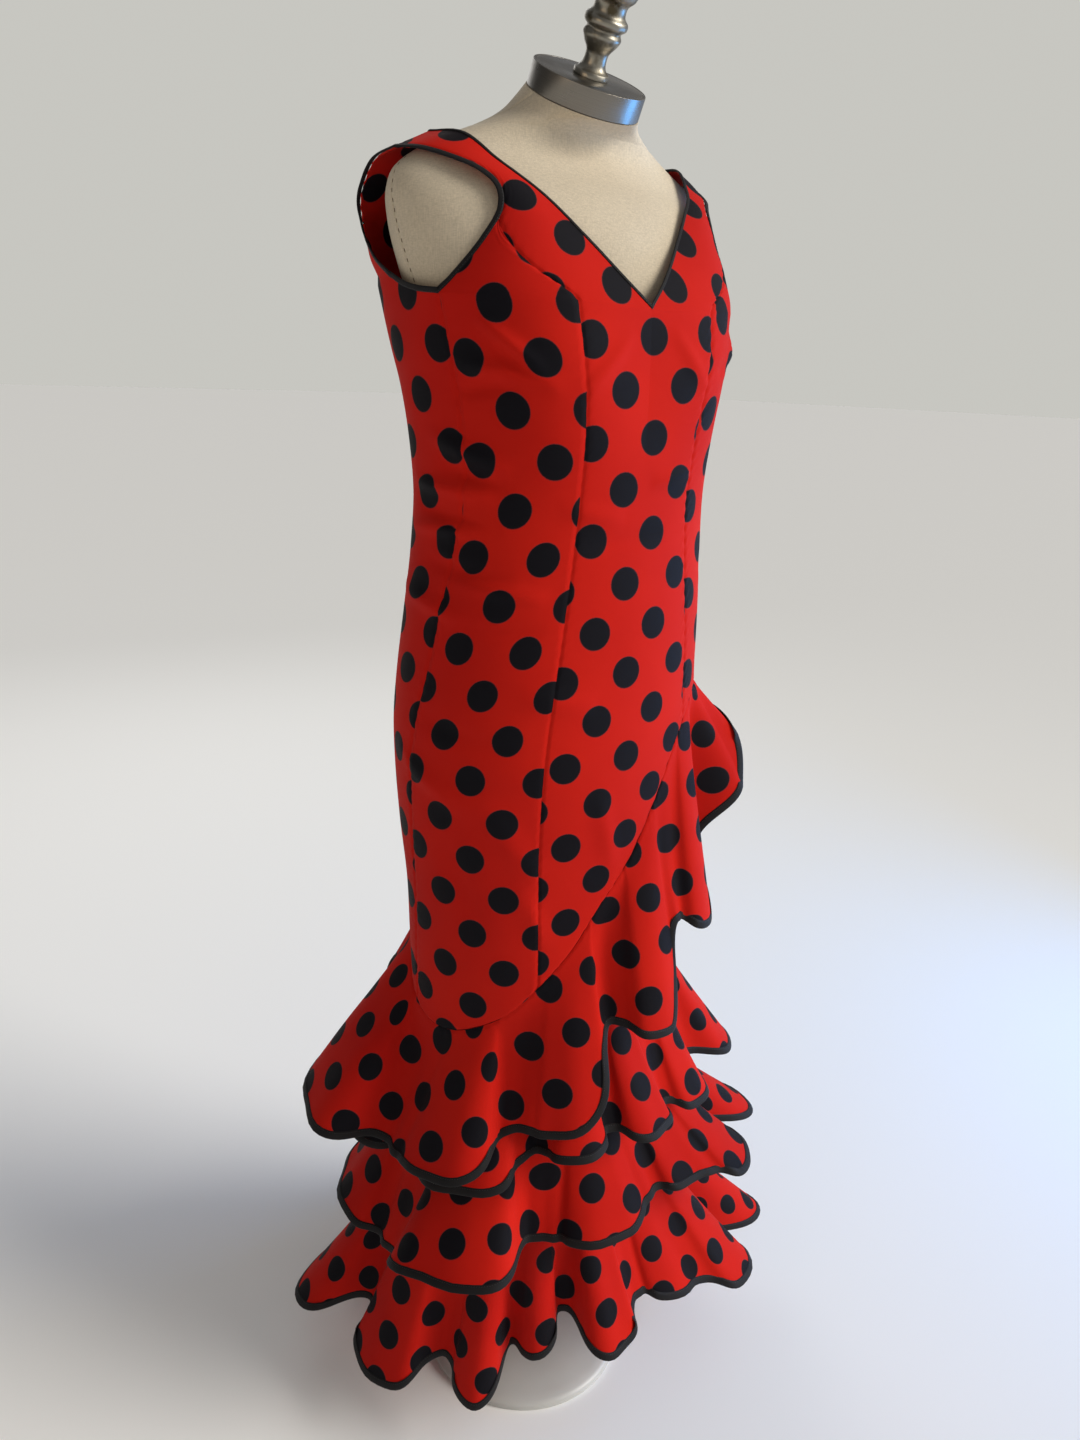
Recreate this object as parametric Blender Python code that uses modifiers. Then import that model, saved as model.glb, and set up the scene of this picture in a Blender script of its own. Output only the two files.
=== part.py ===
"""Flamenco dress on a dress form.

Sleeveless V-neck sheath of seven panels, a spiral hip flounce sewn to its slanting hem and three flounces
below it on an underskirt. Every edge is bound with bias tape, and a zip closes the centre back seam. The
dress stands on a limbless dress form with a steel neck ring, a turned finial, a pole and a round base.
Metres, +Z up; the wearer faces -Y, the wearer's left is +X, and the origin is the centre of the base's
underside.
"""
from collections import namedtuple
from math import radians

import bmesh
import bpy
import numpy as np
from mathutils import Matrix

# Start from an empty scene
for leftover in list(bpy.data.objects):
    bpy.data.objects.remove(leftover, do_unlink=True)

# Cloth and sewing sizes
CLOTH_WALL = 0.0012
SEAM_GAP = 0.0006
HALF_GAP = SEAM_GAP / 2
SHOULDER_HALF_GAP = 0.0006
FLOUNCE_DROP = 0.0008
HEM_TAPE_WIDTH = 0.010
HEM_TAPE_WALL = 0.0017
NECK_TAPE_WIDTH = 0.003
ARMHOLE_TAPE_WIDTH = 0.005
EDGE_TAPE_WALL = 0.0017
NECK_MITRE = 1.35
UNDERSKIRT_INSET = CLOTH_WALL + 0.0008
UNDERSKIRT_DROP = 0.004
UNDERSKIRT_HEM_HEIGHT = 0.315
SEWN_GAP = 0.0010
TAPE_GAP = 0.0009
TOUCH_GAP = 0.0003
WELD_DISTANCE = 0.000001

# How finely each form is divided
COLUMNS_PER_HALF_FOLD = 4
FLOUNCE_ROWS = 3
SHEATH_LOWER_ROWS = 11
FRONT_COLUMNS = 5
BACK_COLUMNS = 4
SIDE_COLUMNS = 6
CORNER_COLUMN = 3
UNDERSKIRT_COLUMNS = 48
FORM_COLUMNS = 26
FORM_ROWS = 27
FORM_ROW_EASE = 1.45
SETTLING_STEPS = 8

Section = namedtuple("Section", "height half_width front back front_corner back_corner")
SHEATH_SECTIONS = (
    Section(0.500, 0.1612, 0.1400, 0.1300, 0.00, 0.00),
    Section(0.600, 0.1657, 0.1420, 0.1290, 0.00, 0.00),
    Section(0.670, 0.1688, 0.1440, 0.1280, 0.00, 0.00),
    Section(0.740, 0.1720, 0.1460, 0.1280, 0.00, 0.00),
    Section(0.830, 0.1800, 0.1510, 0.1350, 0.00, 0.02),
    Section(0.900, 0.1840, 0.1540, 0.1400, 0.01, 0.02),
    Section(0.950, 0.1850, 0.1550, 0.1370, 0.01, 0.02),
    Section(1.000, 0.1820, 0.1550, 0.1300, 0.01, 0.02),
    Section(1.070, 0.1760, 0.1550, 0.1160, 0.02, 0.02),
    Section(1.150, 0.1680, 0.1520, 0.1040, 0.03, 0.02),
    Section(1.200, 0.1650, 0.1510, 0.1010, 0.03, 0.02),
    Section(1.250, 0.1680, 0.1520, 0.1030, 0.02, 0.03),
    Section(1.300, 0.1740, 0.1510, 0.1140, 0.01, 0.04),
    Section(1.350, 0.1810, 0.1490, 0.1270, 0.02, 0.08),
    Section(1.400, 0.1860, 0.1470, 0.1310, 0.06, 0.13),
)

# A rounded swelling over each bust point
BUST_REACH = 0.016
BUST_ANGLE = 31.0
BUST_SPREAD = 21.0
BUST_HEIGHT = 1.335
BUST_RISE = 0.055
BUST_FALL = 0.085

# Seams that run up the sheath, as section angles from the centre front
SeamAngle = namedtuple("SeamAngle", "height angle")
FRONT_PRINCESS = (
    SeamAngle(0.660, 31.0),
    SeamAngle(0.894, 31.5),
    SeamAngle(1.058, 28.0),
    SeamAngle(1.186, 25.0),
    SeamAngle(1.294, 23.5),
    SeamAngle(1.400, 25.5),
)
SIDE_SEAM = (
    SeamAngle(0.600, 97.0),
    SeamAngle(0.716, 94.0),
    SeamAngle(0.880, 88.5),
    SeamAngle(0.940, 86.0),
    SeamAngle(1.044, 77.5),
    SeamAngle(1.140, 71.0),
    SeamAngle(1.200, 67.0),
    SeamAngle(1.276, 66.5),
    SeamAngle(1.400, 70.5),
)
BACK_PRINCESS = (
    SeamAngle(0.600, 142.0),
    SeamAngle(0.900, 141.0),
    SeamAngle(1.200, 138.0),
    SeamAngle(1.400, 134.0),
)

# The slanting hem seam: lowest on the wearer's right, highest on the left hip
LineHeight = namedtuple("LineHeight", "angle height")
HEM_SEAM = (
    LineHeight(-300.0, 0.985),
    LineHeight(-270.0, 0.975),
    LineHeight(-240.0, 0.945),
    LineHeight(-210.0, 0.895),
    LineHeight(-180.0, 0.830),
    LineHeight(-150.0, 0.745),
    LineHeight(-126.0, 0.668),
    LineHeight(-107.0, 0.612),
    LineHeight(-90.0, 0.586),
    LineHeight(-75.0, 0.585),
    LineHeight(-60.0, 0.602),
    LineHeight(-46.0, 0.626),
    LineHeight(-33.0, 0.664),
    LineHeight(-20.0, 0.705),
    LineHeight(-7.0, 0.757),
    LineHeight(1.0, 0.785),
    LineHeight(10.0, 0.825),
    LineHeight(20.0, 0.876),
    LineHeight(30.0, 0.930),
    LineHeight(43.0, 0.972),
    LineHeight(60.0, 0.985),
)
TURN = 360.0
HEM_SEAM_END = 60.0

# The underarm level, which follows the armhole behind the side seam, by section angle
UNDERARM_LINE = (
    LineHeight(0.0, 1.3840),
    LineHeight(40.0, 1.3874),
    LineHeight(70.5, 1.3900),
    LineHeight(81.0, 1.3925),
    LineHeight(91.7, 1.3985),
    LineHeight(102.3, 1.4070),
    LineHeight(120.0, 1.4100),
    LineHeight(150.0, 1.4080),
    LineHeight(180.0, 1.4050),
)

# Neck and armhole edges above the underarm, on the wearer's left
EdgePoint = namedtuple("EdgePoint", "share x y z")
NECK_FRONT = (
    EdgePoint(0.00, 0.000, -0.1490, 1.3840),
    EdgePoint(0.20, 0.028, -0.1350, 1.4110),
    EdgePoint(0.40, 0.057, -0.1150, 1.4430),
    EdgePoint(0.60, 0.088, -0.0885, 1.4780),
    EdgePoint(0.80, 0.119, -0.0550, 1.5080),
    EdgePoint(0.92, 0.137, -0.0180, 1.5330),
    EdgePoint(1.00, 0.146, 0.0200, 1.5375),
)
NECK_BACK = (
    EdgePoint(0.00, 0.000, 0.1310, 1.4050),
    EdgePoint(0.20, 0.033, 0.1250, 1.4300),
    EdgePoint(0.40, 0.065, 0.1140, 1.4590),
    EdgePoint(0.60, 0.095, 0.0960, 1.4880),
    EdgePoint(0.80, 0.122, 0.0700, 1.5150),
    EdgePoint(0.92, 0.139, 0.0430, 1.5335),
    EdgePoint(1.00, 0.146, 0.0200, 1.5375),
)
ARMHOLE_FRONT = (
    EdgePoint(0.00, 0.178, -0.0500, 1.3900),
    EdgePoint(0.20, 0.169, -0.0640, 1.4040),
    EdgePoint(0.40, 0.147, -0.0820, 1.4370),
    EdgePoint(0.55, 0.131, -0.0850, 1.4640),
    EdgePoint(0.70, 0.131, -0.0730, 1.4880),
    EdgePoint(0.85, 0.153, -0.0430, 1.5070),
    EdgePoint(0.94, 0.173, -0.0080, 1.5180),
    EdgePoint(1.00, 0.182, 0.0180, 1.5205),
)
ARMHOLE_BACK = (
    EdgePoint(0.00, 0.185, 0.0280, 1.4070),
    EdgePoint(0.25, 0.187, 0.0600, 1.4270),
    EdgePoint(0.50, 0.188, 0.0820, 1.4580),
    EdgePoint(0.75, 0.189, 0.0780, 1.4920),
    EdgePoint(0.90, 0.187, 0.0480, 1.5150),
    EdgePoint(1.00, 0.182, 0.0180, 1.5205),
)

# Rows above the underarm, and where the princess seams run out into the armholes
FRONT_SHARES = (0.0, 0.10, 0.20, 0.30, 0.40, 0.465, 0.50, 0.61, 0.74, 0.87, 1.0)
BACK_SHARES = (0.0, 0.10, 0.20, 0.30, 0.40, 0.465, 0.50, 0.61, 0.74, 0.87, 1.0)
SEAM_END_SHARE = 0.50
FRONT_SEAM_BASE = 25.5 / 70.5
BACK_SEAM_BASE = (180.0 - 134.0) / (180.0 - 102.25)

# Flounces: each row is the top of a fold or the bottom of the hollow beside it
Fold = namedtuple("Fold", "angle reach height")
HIP_FLOUNCE = (
    Fold(62.0, 0.190, 0.952),
    Fold(58.0, 0.236, 0.915),
    Fold(54.0, 0.246, 0.858),
    Fold(47.0, 0.188, 0.790),
    Fold(40.0, 0.218, 0.700),
    Fold(24.0, 0.186, 0.720),
    Fold(13.0, 0.214, 0.600),
    Fold(-4.0, 0.172, 0.610),
    Fold(-20.0, 0.212, 0.505),
    Fold(-42.0, 0.190, 0.492),
    Fold(-62.0, 0.245, 0.445),
    Fold(-87.0, 0.224, 0.430),
    Fold(-112.0, 0.300, 0.440),
    Fold(-136.0, 0.190, 0.497),
    Fold(-155.0, 0.218, 0.552),
    Fold(-174.0, 0.188, 0.582),
    Fold(-192.0, 0.235, 0.635),
    Fold(-209.0, 0.190, 0.665),
    Fold(-225.0, 0.235, 0.715),
    Fold(-241.0, 0.192, 0.730),
    Fold(-256.0, 0.235, 0.775),
    Fold(-270.0, 0.192, 0.800),
    Fold(-283.0, 0.228, 0.860),
    Fold(-294.0, 0.186, 0.945),
)
SECOND_FLOUNCE = (
    Fold(112.0, 0.262, 0.440),
    Fold(94.0, 0.200, 0.455),
    Fold(76.0, 0.300, 0.432),
    Fold(58.0, 0.200, 0.455),
    Fold(40.0, 0.230, 0.450),
    Fold(24.0, 0.192, 0.464),
    Fold(8.0, 0.222, 0.468),
    Fold(-5.0, 0.184, 0.474),
    Fold(-17.0, 0.218, 0.470),
    Fold(-34.0, 0.183, 0.455),
    Fold(-58.0, 0.232, 0.424),
    Fold(-82.0, 0.192, 0.412),
    Fold(-106.0, 0.250, 0.418),
    Fold(-126.0, 0.195, 0.430),
    Fold(-145.0, 0.250, 0.425),
    Fold(-163.0, 0.192, 0.440),
    Fold(-181.0, 0.250, 0.430),
    Fold(-198.0, 0.192, 0.440),
    Fold(-215.0, 0.258, 0.435),
    Fold(-232.0, 0.194, 0.445),
)
THIRD_FLOUNCE = (
    Fold(76.0, 0.352, 0.300),
    Fold(64.0, 0.240, 0.330),
    Fold(52.0, 0.300, 0.332),
    Fold(33.0, 0.240, 0.350),
    Fold(16.0, 0.198, 0.352),
    Fold(0.0, 0.216, 0.338),
    Fold(-32.0, 0.182, 0.330),
    Fold(-55.0, 0.264, 0.318),
    Fold(-91.0, 0.220, 0.262),
    Fold(-118.0, 0.258, 0.280),
    Fold(-137.0, 0.208, 0.300),
    Fold(-156.0, 0.265, 0.290),
    Fold(-175.0, 0.210, 0.305),
    Fold(-194.0, 0.275, 0.292),
    Fold(-212.0, 0.212, 0.308),
    Fold(-230.0, 0.290, 0.296),
    Fold(-248.0, 0.218, 0.312),
    Fold(-257.0, 0.250, 0.308),
    Fold(-268.0, 0.230, 0.315),
)
HEM_FLOUNCE = (
    Fold(75.0, 0.380, 0.110),
    Fold(64.0, 0.270, 0.128),
    Fold(56.0, 0.318, 0.137),
    Fold(33.0, 0.240, 0.170),
    Fold(13.0, 0.192, 0.188),
    Fold(-3.0, 0.222, 0.158),
    Fold(-17.0, 0.156, 0.188),
    Fold(-31.0, 0.186, 0.150),
    Fold(-41.0, 0.166, 0.148),
    Fold(-52.0, 0.216, 0.092),
    Fold(-67.0, 0.192, 0.122),
    Fold(-87.0, 0.260, 0.086),
    Fold(-106.0, 0.226, 0.118),
    Fold(-121.0, 0.322, 0.082),
    Fold(-140.0, 0.230, 0.106),
    Fold(-159.0, 0.320, 0.082),
    Fold(-178.0, 0.232, 0.106),
    Fold(-197.0, 0.316, 0.083),
    Fold(-216.0, 0.234, 0.106),
    Fold(-235.0, 0.326, 0.088),
    Fold(-252.0, 0.240, 0.110),
    Fold(-262.0, 0.290, 0.102),
    Fold(-273.0, 0.250, 0.114),
)

# How a fold opens: its lower half bells out, and its sides lean over the hollows
FLARE_POWER = 1.60
FOLD_LEAN = 0.60
HEM_SLOPE_SHARE = 0.10
MOST_HEM_SLANT = 0.18
LEAST_TAPE_TOP = 0.35

# Heights at which the lower flounces are sewn to the underskirt: middle, rise and where it is highest
SewnLine = namedtuple("SewnLine", "middle rise highest_angle")
SECOND_SEWN = SewnLine(0.598, 0.036, 100.0)
THIRD_SEWN = SewnLine(0.468, 0.006, 100.0)
HEM_SEWN = SewnLine(0.352, 0.006, 100.0)

# Dress form torso: front and back are places along Y, and the neck sections lean forward
FormSection = namedtuple("FormSection", "height half_width front_y back_y tilt")
FORM_SECTIONS = (
    FormSection(0.8000, 0.160, -0.105, 0.112, 0.0),
    FormSection(0.8800, 0.172, -0.120, 0.120, 0.0),
    FormSection(0.9500, 0.173, -0.126, 0.116, 0.0),
    FormSection(1.0500, 0.158, -0.126, 0.096, 0.0),
    FormSection(1.1500, 0.140, -0.121, 0.080, 0.0),
    FormSection(1.2000, 0.136, -0.119, 0.076, 0.0),
    FormSection(1.2600, 0.146, -0.124, 0.082, 0.0),
    FormSection(1.3200, 0.160, -0.128, 0.096, 0.0),
    FormSection(1.3800, 0.172, -0.127, 0.108, 0.0),
    FormSection(1.4200, 0.184, -0.119, 0.113, 0.0),
    FormSection(1.4600, 0.193, -0.103, 0.111, 0.0),
    FormSection(1.4850, 0.193, -0.085, 0.103, 0.0),
    FormSection(1.5050, 0.183, -0.063, 0.089, 0.0),
    FormSection(1.5180, 0.166, -0.052, 0.077, 0.0),
    FormSection(1.5300, 0.144, -0.045, 0.069, 0.0),
    FormSection(1.5420, 0.117, -0.046, 0.061, 0.0),
    FormSection(1.5530, 0.092, -0.054, 0.054, 4.0),
    FormSection(1.5620, 0.075, -0.063, 0.045, 12.0),
    FormSection(1.5700, 0.065, -0.071, 0.036, 20.0),
    FormSection(1.5765, 0.0585, -0.0770, 0.0258, 27.0),
)
FORM_BUST_REACH = 0.020
FORM_BUST_HEIGHT = 1.325

# Neck ring, finial and stand
NECK_TILT = 27.0
NECK_CENTRE_Y = -0.0256
NECK_CENTRE_Z = 1.5765
RING_RADIUS = 0.0575
RING_HEIGHT = 0.023
RING_EDGE = 0.0012
TurnedPoint = namedtuple("TurnedPoint", "radius height")
FINIAL_PROFILE = (
    TurnedPoint(0.0000, 0.1210),
    TurnedPoint(0.0080, 0.1185),
    TurnedPoint(0.0145, 0.1110),
    TurnedPoint(0.0155, 0.1030),
    TurnedPoint(0.0120, 0.0950),
    TurnedPoint(0.0130, 0.0890),
    TurnedPoint(0.0205, 0.0840),
    TurnedPoint(0.0235, 0.0760),
    TurnedPoint(0.0215, 0.0680),
    TurnedPoint(0.0165, 0.0620),
    TurnedPoint(0.0165, 0.0540),
    TurnedPoint(0.0210, 0.0490),
    TurnedPoint(0.0210, 0.0440),
    TurnedPoint(0.0170, 0.0400),
    TurnedPoint(0.0190, 0.0350),
    TurnedPoint(0.0165, 0.0290),
    TurnedPoint(0.0115, 0.0210),
    TurnedPoint(0.0115, 0.0120),
    TurnedPoint(0.0140, 0.0070),
    TurnedPoint(0.0175, 0.0045),
    TurnedPoint(0.0175, 0.0000),
    TurnedPoint(0.0000, 0.0000),
)
FINIAL_STEPS = 14
POLE_RADIUS = 0.016
POLE_SIDES = 20
BASE_PROFILE = (
    TurnedPoint(0.0000, 0.0260),
    TurnedPoint(0.0240, 0.0260),
    TurnedPoint(0.0300, 0.0200),
    TurnedPoint(0.1200, 0.0130),
    TurnedPoint(0.1330, 0.0090),
    TurnedPoint(0.1350, 0.0050),
    TurnedPoint(0.1350, 0.0000),
    TurnedPoint(0.0000, 0.0000),
)
BASE_STEPS = 28
RING_STEPS = 32

# Zip slider and pull at the top of the centre back seam
ZIP_DROP = 0.014
SLIDER_WIDTH = 0.0066
SLIDER_LENGTH = 0.0090
SLIDER_THICKNESS = 0.0022
SLIDER_STANDOFF = 0.0007
PIN_RADIUS = 0.0009
PIN_STANDOFF = 0.0023
PIN_LENGTH = 0.0052
PIN_SIDES = 16
EAR_THICKNESS = 0.0008
EAR_REACH = 0.0014
BARREL_RADIUS = 0.0019
BARREL_HOLE = 0.0012
BARREL_LENGTH = 0.0028
PULL_STEM_WIDTH = 0.0024
PULL_STEM_LENGTH = 0.0032
PULL_WIDTH = 0.0046
PULL_LENGTH = 0.022
PULL_THICKNESS = 0.0011
PULL_ROUNDING = 0.0003
PULL_TAB_THICKNESS = 0.0010
OVERSHOOT = 0.001

parts = bpy.data.collections.new("flamenco_dress_on_dress_form")
bpy.context.scene.collection.children.link(parts)
cutters = bpy.data.collections.new("cutters")
bpy.context.scene.collection.children.link(cutters)


# Finishes
def make_material(name, colour, roughness, metallic=0.0):
    material = bpy.data.materials.new(name)
    material.use_nodes = True
    shader = material.node_tree.nodes["Principled BSDF"]
    shader.inputs["Base Color"].default_value = (*colour, 1.0)
    shader.inputs["Roughness"].default_value = roughness
    shader.inputs["Metallic"].default_value = metallic
    material.diffuse_color = (*colour, 1.0)
    return material


RED_COTTON = make_material("red_dotted_cotton", (0.58, 0.012, 0.008), 0.72)
BLACK_TAPE = make_material("black_bias_tape", (0.012, 0.010, 0.012), 0.60)
LINEN = make_material("cream_linen", (0.62, 0.52, 0.38), 0.85)
STEEL = make_material("brushed_steel", (0.55, 0.54, 0.52), 0.32, 1.0)
AGED_SILVER = make_material("aged_silver_casting", (0.42, 0.39, 0.34), 0.42, 1.0)
STAND_STEEL = make_material("painted_stand_steel", (0.30, 0.29, 0.27), 0.45)
ZIP_METAL = make_material("black_zip_metal", (0.030, 0.028, 0.030), 0.35, 0.8)


# Reading a table of rows as a smooth curve
def read_table(table, key, value, at):
    knots = np.array([getattr(row, key) for row in table])
    values = np.array([getattr(row, value) for row in table])
    slopes = np.gradient(values, knots)
    at = np.clip(at, knots[0], knots[-1])
    first = np.clip(np.searchsorted(knots, at, side="right") - 1, 0, len(knots) - 2)
    width = knots[first + 1] - knots[first]
    t = (at - knots[first]) / width
    from_value = (2 * t**3 - 3 * t**2 + 1) * values[first] + (3 * t**2 - 2 * t**3) * values[first + 1]
    from_slope = (t**3 - 2 * t**2 + t) * slopes[first] + (t**3 - t**2) * slopes[first + 1]
    return from_value + width * from_slope


def polar_angle(x, y):
    return np.degrees(np.arctan2(x, -y))


def polar_point(angle, radius, height):
    turned = np.radians(angle)
    return np.array([radius * np.sin(turned), -radius * np.cos(turned), height + 0 * radius])


def wrap(angle):
    return np.mod(np.asarray(angle, float) + TURN / 2, TURN) - TURN / 2


def hem_seam_height(angle):
    wrapped = HEM_SEAM_END - np.mod(HEM_SEAM_END - angle, TURN)
    return read_table(HEM_SEAM, "angle", "height", wrapped)


# The sheath's surface
def sheath_point(angle, height):
    half_width = read_table(SHEATH_SECTIONS, "height", "half_width", height)
    ahead = np.cos(np.radians(angle)) > 0
    depth = np.where(
        ahead,
        read_table(SHEATH_SECTIONS, "height", "front", height),
        read_table(SHEATH_SECTIONS, "height", "back", height),
    )
    corner = np.where(
        ahead,
        read_table(SHEATH_SECTIONS, "height", "front_corner", height),
        read_table(SHEATH_SECTIONS, "height", "back_corner", height),
    )
    sine = np.sin(np.radians(angle))
    cosine = np.cos(np.radians(angle))
    squareness = 1 + corner * np.sin(2 * np.radians(angle)) ** 2
    above = height - BUST_HEIGHT
    reach = BUST_REACH * np.exp(-(((np.abs(angle) - BUST_ANGLE) / BUST_SPREAD) ** 2))
    reach = reach * np.exp(-((above / np.where(above > 0, BUST_RISE, BUST_FALL)) ** 2))
    x = half_width * sine * squareness + sine * reach
    y = -depth * cosine * squareness - cosine * reach
    return np.array([x, y, height + 0 * x])


def sheath_at_polar(angle, height):
    """The sheath's point at a true polar angle, found by stepping the section angle towards it."""
    section_angle = np.array(angle, float)
    for _ in range(SETTLING_STEPS):
        x, y, _ = sheath_point(wrap(section_angle), height)
        section_angle = section_angle + wrap(angle - polar_angle(x, y))
    return sheath_point(wrap(section_angle), height)


def lower_point(angle_at, side, level):
    """A point at a level from 0, the hem seam, to 1, the underarm; angle_at gives the angle for a height."""
    height = BUST_HEIGHT
    for _ in range(SETTLING_STEPS):
        angle = side * angle_at(height)
        x, y, _ = sheath_point(angle, height)
        bottom = hem_seam_height(polar_angle(x, y))
        top = read_table(UNDERARM_LINE, "angle", "height", np.abs(angle))
        height = bottom + (top - bottom) * level
    return sheath_point(side * angle_at(height), height)


# Seams as functions from a height to a section angle
def seam_angle(table):
    return lambda height: read_table(table, "height", "angle", height)


def between(start, stop, share):
    """The angle a share of the way from one seam to the next, for any height."""
    return lambda height: start(height) + (stop(height) - start(height)) * share


def centre_front(height):
    return 0.0 * height


def centre_back(height):
    return TURN / 2 + 0.0 * height


front_princess = seam_angle(FRONT_PRINCESS)
side_seam = seam_angle(SIDE_SEAM)
back_princess = seam_angle(BACK_PRINCESS)
armhole_corner = between(back_princess, side_seam, CORNER_COLUMN / SIDE_COLUMNS)
LOWER_LEVELS = np.linspace(0.0, 1.0, SHEATH_LOWER_ROWS + 1)


# Above the underarm
def edge_point(table, share, side):
    point = np.array([read_table(table, "share", axis, share) for axis in "xyz"])
    point[0] *= side
    return point


def bodice_point(is_front, side, across, share):
    """Across runs from the neck edge, 0, to the armhole edge, 1; the straps lie flat over the shoulder."""
    neck = NECK_FRONT if is_front else NECK_BACK
    armhole = ARMHOLE_FRONT if is_front else ARMHOLE_BACK
    centre = centre_front if is_front else centre_back
    limit = side_seam if is_front else armhole_corner
    base = lower_point(between(centre, limit, across), side, 1.0)
    base_neck = edge_point(neck, 0.0, side)
    base_armhole = edge_point(armhole, 0.0, side)
    now_neck = edge_point(neck, share, side)
    now_armhole = edge_point(armhole, share, side)
    bulge = base - (base_neck + (base_armhole - base_neck) * across)
    shrink = np.linalg.norm(now_armhole - now_neck) / np.linalg.norm(base_armhole - base_neck)
    chord = now_neck + (now_armhole - now_neck) * across
    return chord + bulge * shrink * (1 - share**2)


def seam_across(is_front, share):
    """How far out the princess seam lies above the underarm, on its way to the armhole edge."""
    base = FRONT_SEAM_BASE if is_front else BACK_SEAM_BASE
    run = min(share / SEAM_END_SHARE, 1.0)
    return base + (1.0 - base) * run**2


# Cloth from grids of points
def oriented(grid, side, is_front):
    """Turns a panel grid so that its rows run down and its columns run towards the wearer's left at the front."""
    grid = grid[::-1]
    flipped = (side < 0) == is_front
    return grid[:, ::-1] if flipped else grid


def cloth_wall(name, grids, finish, wall=CLOTH_WALL, closed=False, lift=0.0):
    """Joins grids, top row first, as one open surface and gives it a wall; lift moves the wall outwards."""
    points = []
    faces = []
    for grid in grids:
        first = len(points)
        count = len(grid[0])
        points.extend(tuple(point) for row in grid for point in row)
        for upper in range(len(grid) - 1):
            for column in range(count if closed else count - 1):
                right = (column + 1) % count
                here = first + upper * count
                below = here + count
                faces.append((here + column, below + column, below + right, here + right))
    mesh = bpy.data.meshes.new(name)
    mesh.from_pydata(points, [], faces)
    sheet = bmesh.new()
    sheet.from_mesh(mesh)
    bmesh.ops.remove_doubles(sheet, verts=sheet.verts, dist=WELD_DISTANCE)
    sheet.to_mesh(mesh)
    sheet.free()
    thing = bpy.data.objects.new(name, mesh)
    parts.objects.link(thing)
    thing.data.materials.append(finish)
    solidify = thing.modifiers.new("wall", "SOLIDIFY")
    solidify.thickness = wall
    solidify.offset = -1.0 + 2.0 * lift / wall
    solidify.use_rim = True
    smooth_shade(thing)


def smooth_shade(thing):
    for polygon in thing.data.polygons:
        polygon.use_smooth = True


def seam_shift(line, neighbour, half_gap=HALF_GAP):
    """Half a seam gap from each point of a seam towards the neighbouring line, square to the seam."""
    along = np.gradient(line, axis=0)
    step = neighbour - line
    lengthwise = np.sum(step * along, axis=1) / np.sum(along * along, axis=1)
    across = step - along * lengthwise[:, None]
    return across / np.linalg.norm(across, axis=1, keepdims=True) * half_gap


def panel_row(start, stop, columns, side, level):
    return [lower_point(between(start, stop, step / columns), side, level) for step in range(columns + 1)]


def bodice_row(is_front, side, start, stop, columns, share):
    shares = [start + (stop - start) * step / columns for step in range(columns + 1)]
    return [bodice_point(is_front, side, across, share) for across in shares]


def seam_rows(shares):
    """How many rows a princess seam has: all below the underarm, then those before its end."""
    return len(LOWER_LEVELS) + sum(0.0 < share < SEAM_END_SHARE for share in shares)


def centre_grid(is_front, side, columns):
    """From the centre line to the princess seam, and above the underarm from the neck edge outwards."""
    centre = centre_front if is_front else centre_back
    princess = front_princess if is_front else back_princess
    shares = FRONT_SHARES if is_front else BACK_SHARES
    rows = [panel_row(centre, princess, columns, side, level) for level in LOWER_LEVELS]
    for share in shares[1:]:
        rows.append(bodice_row(is_front, side, 0.0, seam_across(is_front, share), columns, share))
    grid = np.array(rows)
    moved = grid.copy()
    seam = seam_rows(shares)
    moved[:seam, -1] += seam_shift(grid[:seam, -1], grid[:seam, -2])
    moved[0] += seam_shift(grid[0], grid[1])
    moved[-1] += seam_shift(grid[-1], grid[-2], SHOULDER_HALF_GAP)
    if not is_front:
        low = len(LOWER_LEVELS)
        moved[:low, 0] += seam_shift(grid[:low, 0], grid[:low, 1])
    return moved


def centre_front_panel():
    """One piece from side to side, with a strap on each side of the V neck."""
    left = centre_grid(True, 1, FRONT_COLUMNS)
    right = centre_grid(True, -1, FRONT_COLUMNS)
    low = len(LOWER_LEVELS)
    middle = (left[:low, 0] + right[:low, 0]) / 2
    left[:low, 0] = middle
    right[:low, 0] = middle
    cloth_wall("center_front", [oriented(left, 1, True), oriented(right, -1, True)], RED_COTTON)


def back_panel(name, side):
    grid = centre_grid(False, side, BACK_COLUMNS)
    cloth_wall(name, [oriented(grid, side, False)], RED_COTTON)


def side_panel(name, side, is_front):
    """From a princess seam to the side seam; its top narrows to a tip on the armhole."""
    princess = front_princess if is_front else back_princess
    shares = FRONT_SHARES if is_front else BACK_SHARES
    upper_columns = SIDE_COLUMNS if is_front else CORNER_COLUMN
    lower = np.array([panel_row(princess, side_seam, SIDE_COLUMNS, side, level) for level in LOWER_LEVELS])
    rows = [lower[-1, : upper_columns + 1]]
    for share in shares:
        if 0.0 < share < SEAM_END_SHARE:
            rows.append(bodice_row(is_front, side, seam_across(is_front, share), 1.0, upper_columns, share))
    upper = np.array(rows)
    seam = np.vstack((lower[:, 0], upper[1:, 0]))
    beside = np.vstack((lower[:, 1], upper[1:, 1]))
    shift = seam_shift(seam, beside)
    side_shift = seam_shift(lower[:, -1], lower[:, -2])
    hem_shift = seam_shift(lower[0], lower[1])
    lower[:, 0] += shift[: len(lower)]
    lower[:, -1] += side_shift
    lower[0] += hem_shift
    upper[:, 0] = (seam + shift)[len(lower) - 1 :]
    if is_front:
        upper[0] = lower[-1]
    cloth_wall(name, [oriented(lower, side, is_front), oriented(upper, side, is_front)], RED_COTTON)


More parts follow.
